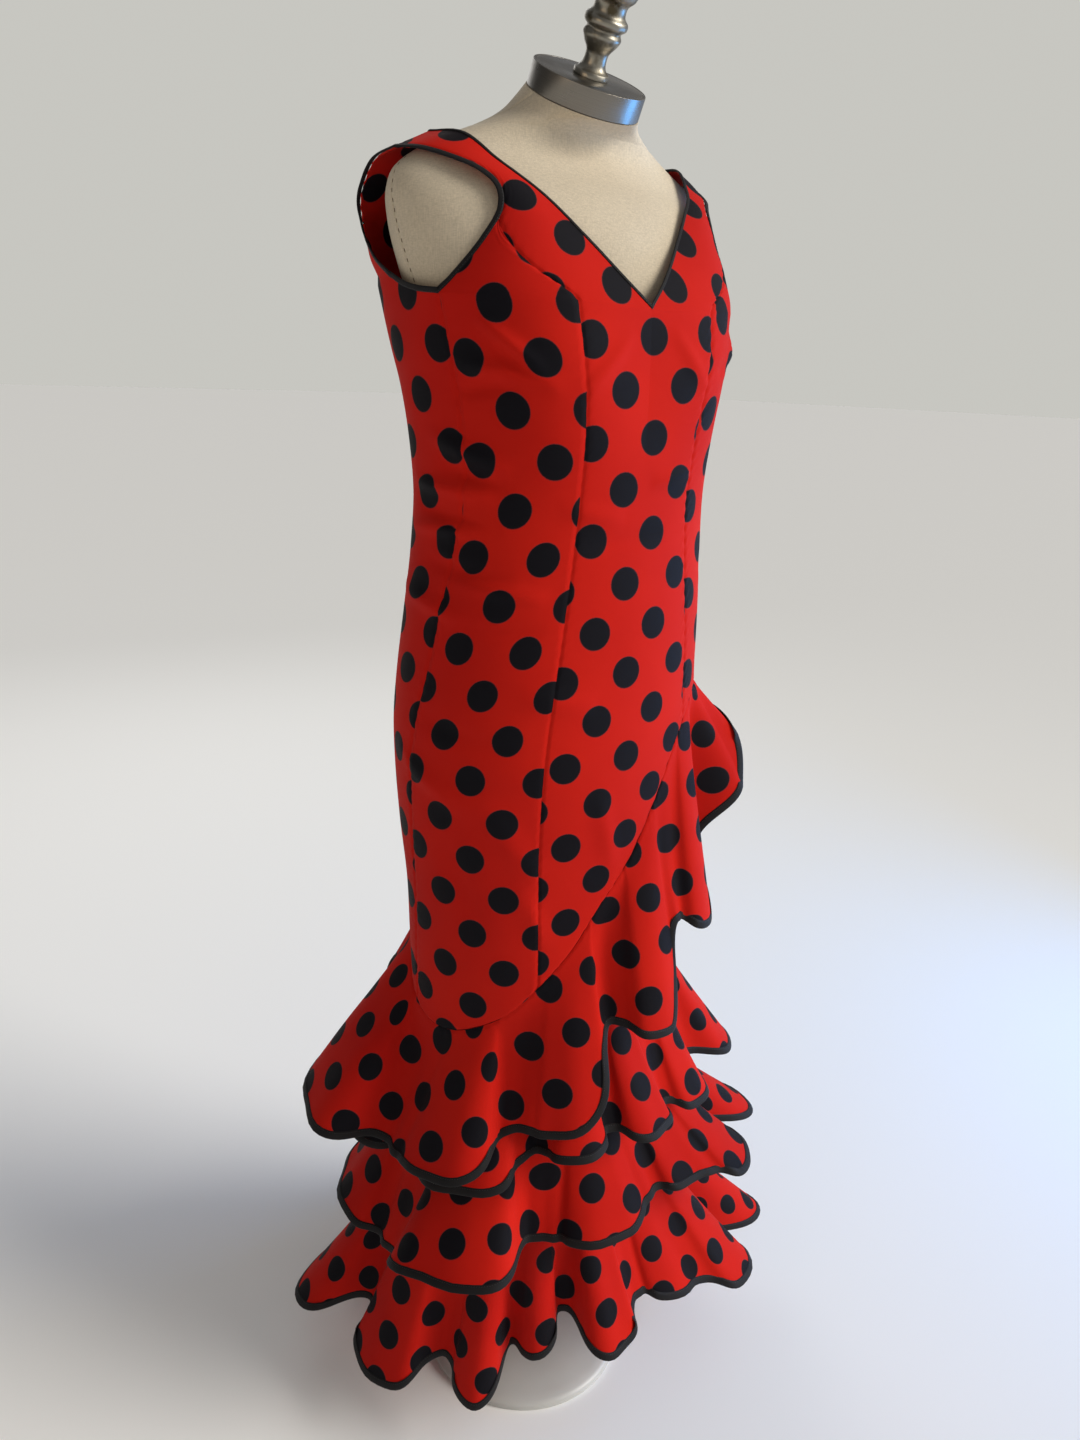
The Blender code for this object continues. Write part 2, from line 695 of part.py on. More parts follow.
# Flounces
def hem_seam_points():
    """Where the panels' hems run, one point for each panel column, in order of polar angle."""
    points = []
    for side in (1, -1):
        points.extend(panel_row(centre_front, front_princess, FRONT_COLUMNS, side, 0.0))
        points.extend(panel_row(front_princess, side_seam, SIDE_COLUMNS, side, 0.0)[1:])
        points.extend(panel_row(side_seam, back_princess, SIDE_COLUMNS, side, 0.0)[1:])
        points.extend(panel_row(back_princess, centre_back, BACK_COLUMNS, side, 0.0)[1:])
    points = np.array(points)
    return points[np.argsort(polar_angle(points[:, 0], points[:, 1]))]


def hip_flounce_top(angle):
    """On the straight runs between the panels' hem points, and a little below them."""
    hem = hem_seam_points()
    turned = polar_angle(hem[:, 0], hem[:, 1])
    x, y, z = (np.interp(angle, turned, hem[:, axis], period=TURN) for axis in range(3))
    rise = (hem_seam_height(angle + 1.0) - hem_seam_height(angle - 1.0)) / np.radians(2.0) / np.hypot(x, y)
    return np.array([x, y, z - FLOUNCE_DROP * np.sqrt(1 + rise**2)])


def underskirt_point(angle, height):
    """The underskirt hangs just inside the sheath's lowest sections; angle is the true polar angle."""
    x, y, _ = sheath_at_polar(angle, np.maximum(height, SHEATH_SECTIONS[0].height))
    return polar_point(angle, np.hypot(x, y) - UNDERSKIRT_INSET, height)


def sewn_top(line):
    """The top edge of a lower flounce, sewn round the outside of the underskirt."""
    def top(angle):
        height = line.middle + line.rise * np.cos(np.radians(angle - line.highest_angle))
        x, y, _ = underskirt_point(angle, height)
        return polar_point(angle, np.hypot(x, y) + CLOTH_WALL + SEWN_GAP, height)
    return top


def build_underskirt():
    angles = np.linspace(0.0, TURN, UNDERSKIRT_COLUMNS, endpoint=False)
    top = hem_seam_height(angles) - UNDERSKIRT_DROP
    straight = SHEATH_SECTIONS[0].height
    heights = [straight + (top - straight) * share for share in (1.0, 0.70, 0.38, 0.0)]
    heights.append(np.full_like(angles, UNDERSKIRT_HEM_HEIGHT))
    rows = [underskirt_point(angles, height).T for height in heights]
    cloth_wall("underskirt", [rows], RED_COTTON, closed=True)


def hem_line(folds, closed):
    """Angles, reaches and heights along a flounce's hem, eased from fold top to hollow and back."""
    folds = list(folds)
    if closed:
        folds.append(folds[0]._replace(angle=folds[0].angle - TURN))
    rows = []
    for here, there in zip(folds, folds[1:]):
        span = there.angle - here.angle
        direction = 1 if here.reach > there.reach else -1
        for step in range(COLUMNS_PER_HALF_FOLD):
            part = step / COLUMNS_PER_HALF_FOLD
            eased = (1 - np.cos(np.pi * part)) / 2
            lean = direction * FOLD_LEAN * span * np.sin(np.pi * part) / np.pi
            reach = here.reach + (there.reach - here.reach) * eased
            height = here.height + (there.height - here.height) * eased
            rows.append((here.angle + span * part, reach, height, lean))
    if not closed:
        rows.append((folds[-1].angle, folds[-1].reach, folds[-1].height, 0.0))
    return np.array(rows).T


def flounce_rows(folds, closed, top_point):
    """Returns a function from a share of the way down a flounce to a row of points."""
    angles, reaches, heights, leans = hem_line(folds, closed)
    x, y, z = top_point(angles)
    top_radius = np.hypot(x, y)

    def row(share):
        radius = top_radius + (reaches - top_radius) * share**FLARE_POWER
        height = z + (heights - z) * share
        turned = polar_point(angles + leans * share, radius, height)
        return turned.T[::-1]
    return row


def tape_shares(row, closed):
    """How far down the tape starts and the cloth ends, so that both run at an even width along the hem."""
    hem = row(1.0)
    drop = (hem - row(1.0 - HEM_SLOPE_SHARE)) / HEM_SLOPE_SHARE
    along = np.roll(hem, -1, axis=0) - np.roll(hem, 1, axis=0) if closed else np.gradient(hem, axis=0)
    length = np.linalg.norm(drop, axis=1)
    square = np.linalg.norm(np.cross(along, drop), axis=1) / np.linalg.norm(along, axis=1)
    square = np.maximum(square, MOST_HEM_SLANT * length)
    tape_top = np.maximum(1.0 - HEM_TAPE_WIDTH / square, LEAST_TAPE_TOP)
    gap = TAPE_GAP * length / square
    return tape_top[::-1], (tape_top - gap / square)[::-1]


def build_flounce(name, folds, closed, top_point):
    """A flounce and, in a second node, the tape that binds its hem."""
    row = flounce_rows(folds, closed, top_point)
    tape_top, cloth_end = tape_shares(row, closed)
    shares = np.linspace(0.0, 1.0, FLOUNCE_ROWS + 1)
    cloth_wall(name, [[row(share * cloth_end) for share in shares]], RED_COTTON, closed=closed)
    tape = [row(tape_top), row(np.ones_like(tape_top))]
    lift = (HEM_TAPE_WALL - CLOTH_WALL) / 2
    cloth_wall(name + "_tape", [tape], BLACK_TAPE, HEM_TAPE_WALL, closed, lift)


# Tapes on the neck and armhole edges
def tape_rows(edge, inner, width, closed):
    """The near and the far edge of a tape that goes on beyond a panel edge in the panel's own plane."""
    edge = np.array(edge)
    step = np.array(inner) - edge
    along = np.roll(edge, -1, axis=0) - np.roll(edge, 1, axis=0) if closed else np.gradient(edge, axis=0)
    lengthwise = np.sum(step * along, axis=1) / np.sum(along * along, axis=1)
    across = step - along * lengthwise[:, None]
    way = -across / np.linalg.norm(across, axis=1, keepdims=True)
    return edge + way * TAPE_GAP, edge + way * (TAPE_GAP + width)


def armhole_edge(is_front, side, share):
    """A point of the armhole edge and the panel point beside it."""
    seam = seam_across(is_front, share)
    upper_columns = SIDE_COLUMNS if is_front else CORNER_COLUMN
    centre_columns = FRONT_COLUMNS if is_front else BACK_COLUMNS
    pitch = (1.0 - seam) / upper_columns if share < SEAM_END_SHARE else 1.0 / centre_columns
    return bodice_point(is_front, side, 1.0, share), bodice_point(is_front, side, 1.0 - pitch, share)


def armhole_tape(name, side):
    """A closed loop: up the front edge, down the back edge and along the underarm to the side seam."""
    pairs = [armhole_edge(True, side, share) for share in FRONT_SHARES[1:]]
    pairs.extend(armhole_edge(False, side, share) for share in BACK_SHARES[-2:0:-1])
    top = panel_row(back_princess, side_seam, SIDE_COLUMNS, side, 1.0)[CORNER_COLUMN:]
    below = panel_row(back_princess, side_seam, SIDE_COLUMNS, side, LOWER_LEVELS[-2])[CORNER_COLUMN:]
    pairs.extend(zip(top, below))
    near, far = tape_rows([edge for edge, _ in pairs], [inner for _, inner in pairs], ARMHOLE_TAPE_WIDTH, True)
    grid = np.array([near, far])
    lift = (EDGE_TAPE_WALL - CLOTH_WALL) / 2
    cloth_wall(name, [grid if side > 0 else grid[:, ::-1]], BLACK_TAPE, EDGE_TAPE_WALL, True, lift)


def neck_side(side):
    """From the centre back over one shoulder to the point before the V."""
    edge = []
    inner = []
    for is_front, shares, columns in (
        (False, BACK_SHARES, BACK_COLUMNS),
        (True, FRONT_SHARES[-2:0:-1], FRONT_COLUMNS),
    ):
        for share in shares:
            edge.append(bodice_point(is_front, side, 0.0, share))
            inner.append(bodice_point(is_front, side, seam_across(is_front, share) / columns, share))
    near, far = tape_rows(edge, inner, NECK_TAPE_WIDTH, False)
    near[0] = edge[0] + np.array([side * HALF_GAP, 0.0, NECK_MITRE * TAPE_GAP])
    far[0] = near[0] + np.array([0.0, 0.0, NECK_MITRE * NECK_TAPE_WIDTH])
    return near, far


def neck_tape():
    """One tape from the centre back over the left shoulder to the V and back over the right."""
    left_near, left_far = neck_side(1)
    right_near, right_far = neck_side(-1)
    v_near = edge_point(NECK_FRONT, 0.0, 1) + np.array([0.0, 0.0, NECK_MITRE * TAPE_GAP])
    v_far = v_near + np.array([0.0, 0.0, NECK_MITRE * NECK_TAPE_WIDTH])
    near = np.vstack((left_near, v_near, right_near[::-1]))
    far = np.vstack((left_far, v_far, right_far[::-1]))
    lift = (EDGE_TAPE_WALL - CLOTH_WALL) / 2
    cloth_wall("neck_tape", [[near, far]], BLACK_TAPE, EDGE_TAPE_WALL, False, lift)


# Small hard pieces
def rod(name, radius, length, centre, collection):
    """A round bar along X."""
    shape = bmesh.new()
    turn = Matrix.Translation(centre) @ Matrix.Rotation(radians(90.0), 4, "Y")
    bmesh.ops.create_cone(
        shape, cap_ends=True, segments=PIN_SIDES, radius1=radius, radius2=radius, depth=length, matrix=turn
    )
    return keep_shape(shape, name, collection)


def block(name, size, centre, collection):
    shape = bmesh.new()
    bmesh.ops.create_cube(shape, size=1.0, matrix=Matrix.Translation(centre) @ Matrix.Diagonal((*size, 1.0)))
    return keep_shape(shape, name, collection)


def keep_shape(shape, name, collection):
    mesh = bpy.data.meshes.new(name)
    shape.to_mesh(mesh)
    shape.free()
    thing = bpy.data.objects.new(name, mesh)
    collection.objects.link(thing)
    thing.data.materials.append(ZIP_METAL)
    return thing


def combine(thing, other, operation):
    boolean = thing.modifiers.new(other.name, "BOOLEAN")
    boolean.operation = operation
    boolean.solver = "EXACT"
    boolean.object = other
    other.hide_render = True


def build_zip():
    """The slider stands on the centre back seam; the pull's barrel turns on the pin between its ears."""
    height = NECK_BACK[0].z - ZIP_DROP
    seat = sheath_point(TURN / 2, height)[1] + SLIDER_STANDOFF
    face = seat + SLIDER_THICKNESS
    pin_y = face + PIN_STANDOFF
    centre = (0.0, (seat + face) / 2, height)
    slider = block("zip_slider", (SLIDER_WIDTH, SLIDER_THICKNESS, SLIDER_LENGTH), centre, parts)
    ear_back = face - SLIDER_THICKNESS / 4
    ear_front = pin_y + EAR_REACH
    ear_size = (EAR_THICKNESS, ear_front - ear_back, 2 * EAR_REACH)
    for side, word in ((1, "left"), (-1, "right")):
        ear_x = side * (PIN_LENGTH - EAR_THICKNESS) / 2
        ear = block("ear_" + word, ear_size, (ear_x, (ear_back + ear_front) / 2, height), cutters)
        combine(slider, ear, "UNION")
    pin = rod("pin", PIN_RADIUS, PIN_LENGTH - EAR_THICKNESS, (0.0, pin_y, height), cutters)
    combine(slider, pin, "UNION")
    pull = rod("zip_pull", BARREL_RADIUS, BARREL_LENGTH, (0.0, pin_y, height), parts)
    stem_size = (PULL_STEM_WIDTH, PULL_THICKNESS, PULL_STEM_LENGTH)
    stem = block("pull_stem", stem_size, (0.0, pin_y, height - PULL_STEM_LENGTH / 2), cutters)
    combine(pull, stem, "UNION")
    tab_length = PULL_LENGTH - PULL_STEM_LENGTH + OVERSHOOT
    tab_centre = (0.0, pin_y, height - PULL_LENGTH + tab_length / 2)
    tab = block("pull_tab", (PULL_WIDTH, PULL_TAB_THICKNESS, tab_length), tab_centre, cutters)
    rounding = tab.modifiers.new("rounding", "BEVEL")
    rounding.width = PULL_ROUNDING
    rounding.segments = 1
    combine(pull, tab, "UNION")
    hole = rod("pull_hole", BARREL_HOLE, BARREL_LENGTH + OVERSHOOT, (0.0, pin_y, height), cutters)
    combine(pull, hole, "DIFFERENCE")


# The dress form
def form_point(angle, height):
    half_width = read_table(FORM_SECTIONS, "height", "half_width", height)
    front = read_table(FORM_SECTIONS, "height", "front_y", height)
    back = read_table(FORM_SECTIONS, "height", "back_y", height)
    tilt = read_table(FORM_SECTIONS, "height", "tilt", height)
    sine = np.sin(np.radians(angle))
    cosine = np.cos(np.radians(angle))
    bust = FORM_BUST_REACH * np.exp(-(((np.abs(wrap(angle)) - BUST_ANGLE) / BUST_SPREAD) ** 2))
    bust = bust * np.exp(-(((height - FORM_BUST_HEIGHT) / BUST_RISE) ** 2))
    middle = (front + back) / 2
    depth = (back - front) / 2
    x = half_width * sine + bust * sine
    y = middle - depth * cosine - bust * cosine
    z = height + (y - middle) * np.tan(np.radians(tilt))
    return np.array([x, y, z])


def build_form_torso():
    """A smooth solid from sections, closer together at the shoulders, flat below and at the leaning neck."""
    bottom = FORM_SECTIONS[0].height
    top = FORM_SECTIONS[-1].height
    shares = np.linspace(0.0, 1.0, FORM_ROWS)
    heights = bottom + (top - bottom) * (1 - (1 - shares) ** FORM_ROW_EASE)
    angles = np.linspace(0.0, TURN, FORM_COLUMNS, endpoint=False)
    points = []
    for height in heights:
        points.extend(form_point(angles, height).T)
    faces = []
    for row in range(FORM_ROWS - 1):
        for column in range(FORM_COLUMNS):
            right = (column + 1) % FORM_COLUMNS
            low = row * FORM_COLUMNS
            high = low + FORM_COLUMNS
            faces.append((low + column, low + right, high + right, high + column))
    faces.append(tuple(range(FORM_COLUMNS))[::-1])
    first = (FORM_ROWS - 1) * FORM_COLUMNS
    faces.append(tuple(range(first, first + FORM_COLUMNS)))
    mesh = bpy.data.meshes.new("form_torso")
    mesh.from_pydata([tuple(point) for point in points], [], faces)
    thing = bpy.data.objects.new("form_torso", mesh)
    parts.objects.link(thing)
    thing.data.materials.append(LINEN)
    smooth_shade(thing)


def turned_piece(name, profile, steps, finish):
    """A turned piece: its profile at +X runs down the outer side, and Screw sweeps it round."""
    mesh = bpy.data.meshes.new(name)
    points = [(point.radius, 0.0, point.height) for point in profile]
    mesh.from_pydata(points, [(index, index + 1) for index in range(len(points) - 1)], [])
    thing = bpy.data.objects.new(name, mesh)
    parts.objects.link(thing)
    thing.data.materials.append(finish)
    screw = thing.modifiers.new("turning", "SCREW")
    screw.steps = steps
    screw.render_steps = steps
    screw.use_merge_vertices = True
    screw.merge_threshold = 0.00005
    return thing


def build_neck_fittings():
    """The steel ring and its plate are one turned piece; the finial stands on the plate, square to it."""
    ring_profile = (
        TurnedPoint(0.0, RING_HEIGHT),
        TurnedPoint(RING_RADIUS - RING_EDGE, RING_HEIGHT),
        TurnedPoint(RING_RADIUS, RING_HEIGHT - RING_EDGE),
        TurnedPoint(RING_RADIUS, RING_EDGE),
        TurnedPoint(RING_RADIUS - RING_EDGE, 0.0),
        TurnedPoint(0.0, 0.0),
    )
    lean = bpy.data.objects.new("neck_lean", None)
    parts.objects.link(lean)
    lean.location = (0.0, NECK_CENTRE_Y, NECK_CENTRE_Z)
    lean.rotation_euler = (radians(NECK_TILT), 0.0, 0.0)
    ring = turned_piece("neck_ring", ring_profile, RING_STEPS, STEEL)
    ring.parent = lean
    ring.location = (0.0, 0.0, TOUCH_GAP)
    finial = turned_piece("finial", FINIAL_PROFILE, FINIAL_STEPS, AGED_SILVER)
    finial.parent = lean
    finial.location = (0.0, 0.0, TOUCH_GAP + RING_HEIGHT + TOUCH_GAP)


def build_stand():
    turned_piece("stand_base", BASE_PROFILE, BASE_STEPS, STAND_STEEL)
    bottom = BASE_PROFILE[0].height + TOUCH_GAP
    top = FORM_SECTIONS[0].height - TOUCH_GAP
    profile = (
        TurnedPoint(0.0, top),
        TurnedPoint(POLE_RADIUS, top),
        TurnedPoint(POLE_RADIUS, bottom),
        TurnedPoint(0.0, bottom),
    )
    turned_piece("stand_pole", profile, POLE_SIDES, STEEL)


def build_dress():
    centre_front_panel()
    for side, word in ((1, "left"), (-1, "right")):
        side_panel("side_front_" + word, side, True)
        side_panel("side_back_" + word, side, False)
        back_panel("back_" + word, side)
        armhole_tape("armhole_tape_" + word, side)
    neck_tape()
    build_zip()
    build_underskirt()
    build_flounce("hip_flounce", HIP_FLOUNCE, False, hip_flounce_top)
    build_flounce("second_flounce", SECOND_FLOUNCE, True, sewn_top(SECOND_SEWN))
    build_flounce("third_flounce", THIRD_FLOUNCE, True, sewn_top(THIRD_SEWN))
    build_flounce("hem_flounce", HEM_FLOUNCE, True, sewn_top(HEM_SEWN))


build_dress()
build_form_torso()
build_neck_fittings()
build_stand()
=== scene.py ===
from collections import namedtuple
from math import cos, radians, sin

import bmesh
import bpy
import numpy as np
from mathutils import Matrix, Vector


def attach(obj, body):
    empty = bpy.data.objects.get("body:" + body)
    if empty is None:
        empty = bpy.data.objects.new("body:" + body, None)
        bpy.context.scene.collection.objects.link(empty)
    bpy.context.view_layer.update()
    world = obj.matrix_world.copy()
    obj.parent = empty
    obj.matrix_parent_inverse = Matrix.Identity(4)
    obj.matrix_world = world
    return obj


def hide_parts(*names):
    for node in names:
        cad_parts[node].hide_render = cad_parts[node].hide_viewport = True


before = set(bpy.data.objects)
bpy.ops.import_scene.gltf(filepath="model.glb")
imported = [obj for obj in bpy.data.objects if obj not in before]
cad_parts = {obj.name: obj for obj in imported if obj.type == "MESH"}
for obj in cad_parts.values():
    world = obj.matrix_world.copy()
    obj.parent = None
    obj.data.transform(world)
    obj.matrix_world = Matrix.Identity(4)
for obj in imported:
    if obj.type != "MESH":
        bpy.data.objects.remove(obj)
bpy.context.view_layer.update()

# The view: a phone held at chest height in front of the wearer's right side, tipped down a little and
# turned by two degrees, as the photograph shows the dress.
CAMERA_AZIMUTH = -36.0
CAMERA_TIP = 18.0
CAMERA_ROLL = 2.0
CAMERA_DISTANCE = 1.20
CAMERA_HEIGHT = 1.32
CAMERA_ASIDE = 0.0056
CAMERA_LENS = 26.5
SENSOR_HEIGHT = 36.0

backwards = Vector((sin(radians(CAMERA_AZIMUTH)), -cos(radians(CAMERA_AZIMUTH)), 0.0))
sideways = Vector((cos(radians(CAMERA_AZIMUTH)), sin(radians(CAMERA_AZIMUTH)), 0.0))
upwards = Vector((0.0, 0.0, 1.0))
tip = radians(CAMERA_TIP)
roll = radians(CAMERA_ROLL)
ahead = -backwards * cos(tip) - upwards * sin(tip)
above = -backwards * sin(tip) + upwards * cos(tip)
picture_right = sideways * cos(roll) + above * sin(roll)
picture_up = above * cos(roll) - sideways * sin(roll)
place = backwards * CAMERA_DISTANCE + upwards * CAMERA_HEIGHT - sideways * CAMERA_ASIDE
camera_data = bpy.data.cameras.new("camera")
camera_data.sensor_fit = "VERTICAL"
camera_data.sensor_height = SENSOR_HEIGHT
camera_data.lens = CAMERA_LENS
camera_data.clip_end = 100.0
camera = bpy.data.objects.new("camera", camera_data)
bpy.context.scene.collection.objects.link(camera)
axes = Matrix((picture_right, picture_up, -ahead)).transposed()
camera.matrix_world = Matrix.Translation(place) @ axes.to_4x4()
bpy.context.scene.camera = camera

# The studio: a plain pale floor under a pale sky that is brighter on one side. A soft sun, a window and a
# blue card light the dress from the camera's right, a weak warm lamp from its left and one from behind.
FLOOR_HALF_WIDTH = 60.0
FLOOR_COLOUR = "F0F0EE"
SKY_COLOUR = "F2F3F5"
BACKDROP_COLOUR = "F3F2EB"
SKY_DIM_SIDE = 0.07
SKY_BRIGHT_SIDE = 0.46
SKY_BRIGHT_WAY = (0.80, -0.52, 0.30)
BACKDROP_STRENGTH = 0.64


def linear(hex_colour):
    """An sRGB hex colour as linear red, green, blue and alpha."""
    channels = [int(hex_colour[start:start + 2], 16) / 255 for start in (0, 2, 4)]
    return (*[c / 12.92 if c <= 0.04045 else ((c + 0.055) / 1.055) ** 2.4 for c in channels], 1.0)


def add_node(tree, kind, settings=None, links=None):
    """Adds a node; settings fill its own values or its sockets, and links feed its sockets from outputs."""
    node = tree.nodes.new(kind)
    for key, value in (settings or {}).items():
        if isinstance(key, str) and hasattr(node, key):
            setattr(node, key, value)
        else:
            node.inputs[key].default_value = value
    for key, output in (links or {}).items():
        tree.links.new(output, node.inputs[key])
    return node


def new_finish(name):
    """A material with its nodes cleared; returns the material, its tree and its surface output."""
    material = bpy.data.materials.new(name)
    material.use_nodes = True
    material.node_tree.nodes.clear()
    return material, material.node_tree, add_node(material.node_tree, "ShaderNodeOutputMaterial")


studio_floor, tree, output = new_finish("studio_floor")
shader = add_node(tree, "ShaderNodeBsdfPrincipled", {"Base Color": linear(FLOOR_COLOUR), "Roughness": 0.9})
tree.links.new(shader.outputs["BSDF"], output.inputs["Surface"])
corners = [(-1, -1), (1, -1), (1, 1), (-1, 1)]
floor_mesh = bpy.data.meshes.new("floor")
floor_corners = [(x * FLOOR_HALF_WIDTH, y * FLOOR_HALF_WIDTH, 0.0) for x, y in corners]
floor_mesh.from_pydata(floor_corners, [], [(0, 1, 2, 3)])
floor_mesh.materials.append(studio_floor)
floor = bpy.data.objects.new("floor", floor_mesh)
bpy.context.scene.collection.objects.link(floor)

sky = bpy.data.worlds.new("sky")
sky.use_nodes = True
sky.node_tree.nodes.clear()
sky_way = add_node(sky.node_tree, "ShaderNodeTexCoord").outputs["Generated"]
towards = add_node(
    sky.node_tree, "ShaderNodeVectorMath", {"operation": "DOT_PRODUCT", 1: SKY_BRIGHT_WAY}, {0: sky_way}
)
strength = add_node(
    sky.node_tree,
    "ShaderNodeMapRange",
    {"From Min": -1.0, "From Max": 1.0, "To Min": SKY_DIM_SIDE, "To Max": SKY_BRIGHT_SIDE},
    {"Value": towards.outputs["Value"]},
)
lit = add_node(
    sky.node_tree,
    "ShaderNodeBackground",
    {"Color": linear(SKY_COLOUR)},
    {"Strength": strength.outputs["Result"]},
)
seen = add_node(
    sky.node_tree, "ShaderNodeBackground", {"Color": linear(BACKDROP_COLOUR), "Strength": BACKDROP_STRENGTH}
)
path = add_node(sky.node_tree, "ShaderNodeLightPath")
either = add_node(
    sky.node_tree,
    "ShaderNodeMixShader",
    {},
    {0: path.outputs["Is Camera Ray"], 1: lit.outputs[0], 2: seen.outputs[0]},
)
add_node(sky.node_tree, "ShaderNodeOutputWorld", {}, {"Surface": either.outputs[0]})
bpy.context.scene.world = sky
bpy.context.scene.view_settings.view_transform = "Standard"

Lamp = namedtuple("Lamp", "name kind x y z size power colour")
for lamp in (
    Lamp("daylight", "SUN", 1.9, -2.1, 2.5, 0.55, 2.75, "FFFAF2"),
    Lamp("window", "AREA", 2.2, -1.9, 2.0, 1.0, 10.0, "E6F0FF"),
    Lamp("blue_card", "AREA", 2.0, -0.6, 0.95, 0.9, 20.0, "4A9CF0"),
    Lamp("room", "AREA", -2.7, -1.1, 1.9, 1.2, 6.0, "FFE2C0"),
    Lamp("back", "AREA", 0.6, 2.9, 2.6, 2.0, 18.0, "FFFFFF"),
):
    light = bpy.data.lights.new(lamp.name, lamp.kind)
    if lamp.kind == "SUN":
        light.angle = lamp.size
    else:
        light.size = lamp.size
    light.energy = lamp.power
    light.color = linear(lamp.colour)[:3]
    lamp_object = bpy.data.objects.new(lamp.name, light)
    lamp_object.location = (lamp.x, lamp.y, lamp.z)
    aim = Vector((0.0, 0.0, 0.9)) - lamp_object.location
    lamp_object.rotation_euler = aim.to_track_quat("-Z", "Y").to_euler()
    bpy.context.scene.collection.objects.link(lamp_object)


# The dress form's torso: a limbless padded shell under a stretched cover of natural linen, with a seam down
# each side over the arm end, one down the back and one round the root of the neck.
BUST_ANGLE = 31.0
BUST_SPREAD = 21.0
BUST_RISE = 0.055
# Dress form torso: front and back are places along Y, and the neck sections lean forward
FormSection = namedtuple("FormSection", "height half_width front_y back_y tilt")
FORM_SECTIONS = (
    FormSection(0.8000, 0.160, -0.105, 0.112, 0.0),
    FormSection(0.8800, 0.172, -0.120, 0.120, 0.0),
    FormSection(0.9500, 0.173, -0.126, 0.116, 0.0),
    FormSection(1.0500, 0.158, -0.126, 0.096, 0.0),
    FormSection(1.1500, 0.140, -0.121, 0.080, 0.0),
    FormSection(1.2000, 0.136, -0.119, 0.076, 0.0),
    FormSection(1.2600, 0.146, -0.124, 0.082, 0.0),
    FormSection(1.3200, 0.160, -0.128, 0.096, 0.0),
    FormSection(1.3800, 0.172, -0.127, 0.108, 0.0),
    FormSection(1.4200, 0.184, -0.119, 0.113, 0.0),
    FormSection(1.4600, 0.193, -0.103, 0.111, 0.0),
    FormSection(1.4850, 0.193, -0.085, 0.103, 0.0),
    FormSection(1.5050, 0.183, -0.063, 0.089, 0.0),
    FormSection(1.5180, 0.166, -0.052, 0.077, 0.0),
    FormSection(1.5300, 0.144, -0.045, 0.069, 0.0),
    FormSection(1.5420, 0.117, -0.046, 0.061, 0.0),
    FormSection(1.5530, 0.092, -0.054, 0.054, 4.0),
    FormSection(1.5620, 0.075, -0.063, 0.045, 12.0),
    FormSection(1.5700, 0.065, -0.071, 0.036, 20.0),
    FormSection(1.5765, 0.0585, -0.0770, 0.0258, 27.0),
)
FORM_BUST_REACH = 0.020
FORM_BUST_HEIGHT = 1.325
FORM_COLUMNS = 112
FORM_ROWS = 150
FORM_ROW_EASE = 1.45
FORM_SEAM_ANGLES = (90.0, 180.0, 270.0)
FORM_SEAM_DEPTH = 0.0011
FORM_SEAM_WIDTH = 0.0020
NECK_SEAM_HEIGHT = 1.5465
LINEN_THREAD = 0.0011
TURN = 360.0


def read_table(table, key, value, at):
    """A smooth curve through one column of a table of sections."""
    knots = np.array([getattr(row, key) for row in table])
    values = np.array([getattr(row, value) for row in table])
    slopes = np.gradient(values, knots)
    at = np.clip(at, knots[0], knots[-1])
    first = np.clip(np.searchsorted(knots, at, side="right") - 1, 0, len(knots) - 2)
    width = knots[first + 1] - knots[first]
    t = (at - knots[first]) / width
    from_value = (2 * t**3 - 3 * t**2 + 1) * values[first] + (3 * t**2 - 2 * t**3) * values[first + 1]
    from_slope = (t**3 - 2 * t**2 + t) * slopes[first] + (t**3 - t**2) * slopes[first + 1]
    return from_value + width * from_slope


def wrap(angle):
    """An angle in degrees, brought between -180 and 180."""
    return np.mod(np.asarray(angle, float) + TURN / 2, TURN) - TURN / 2


def form_point(angle, height):
    """The torso's surface at an angle from the front and a height, each section tilted about its middle."""
    half_width = read_table(FORM_SECTIONS, "height", "half_width", height)
    front = read_table(FORM_SECTIONS, "height", "front_y", height)
    back = read_table(FORM_SECTIONS, "height", "back_y", height)
    tilt = read_table(FORM_SECTIONS, "height", "tilt", height)
    sine = np.sin(np.radians(angle))
    cosine = np.cos(np.radians(angle))
    bust = FORM_BUST_REACH * np.exp(-(((np.abs(wrap(angle)) - BUST_ANGLE) / BUST_SPREAD) ** 2))
    bust = bust * np.exp(-(((height - FORM_BUST_HEIGHT) / BUST_RISE) ** 2))
    middle = (front + back) / 2
    depth = (back - front) / 2
    x = half_width * sine + bust * sine
    y = middle - depth * cosine - bust * cosine
    z = height + (y - middle) * np.tan(np.radians(tilt))
    return np.array([x, y, z])


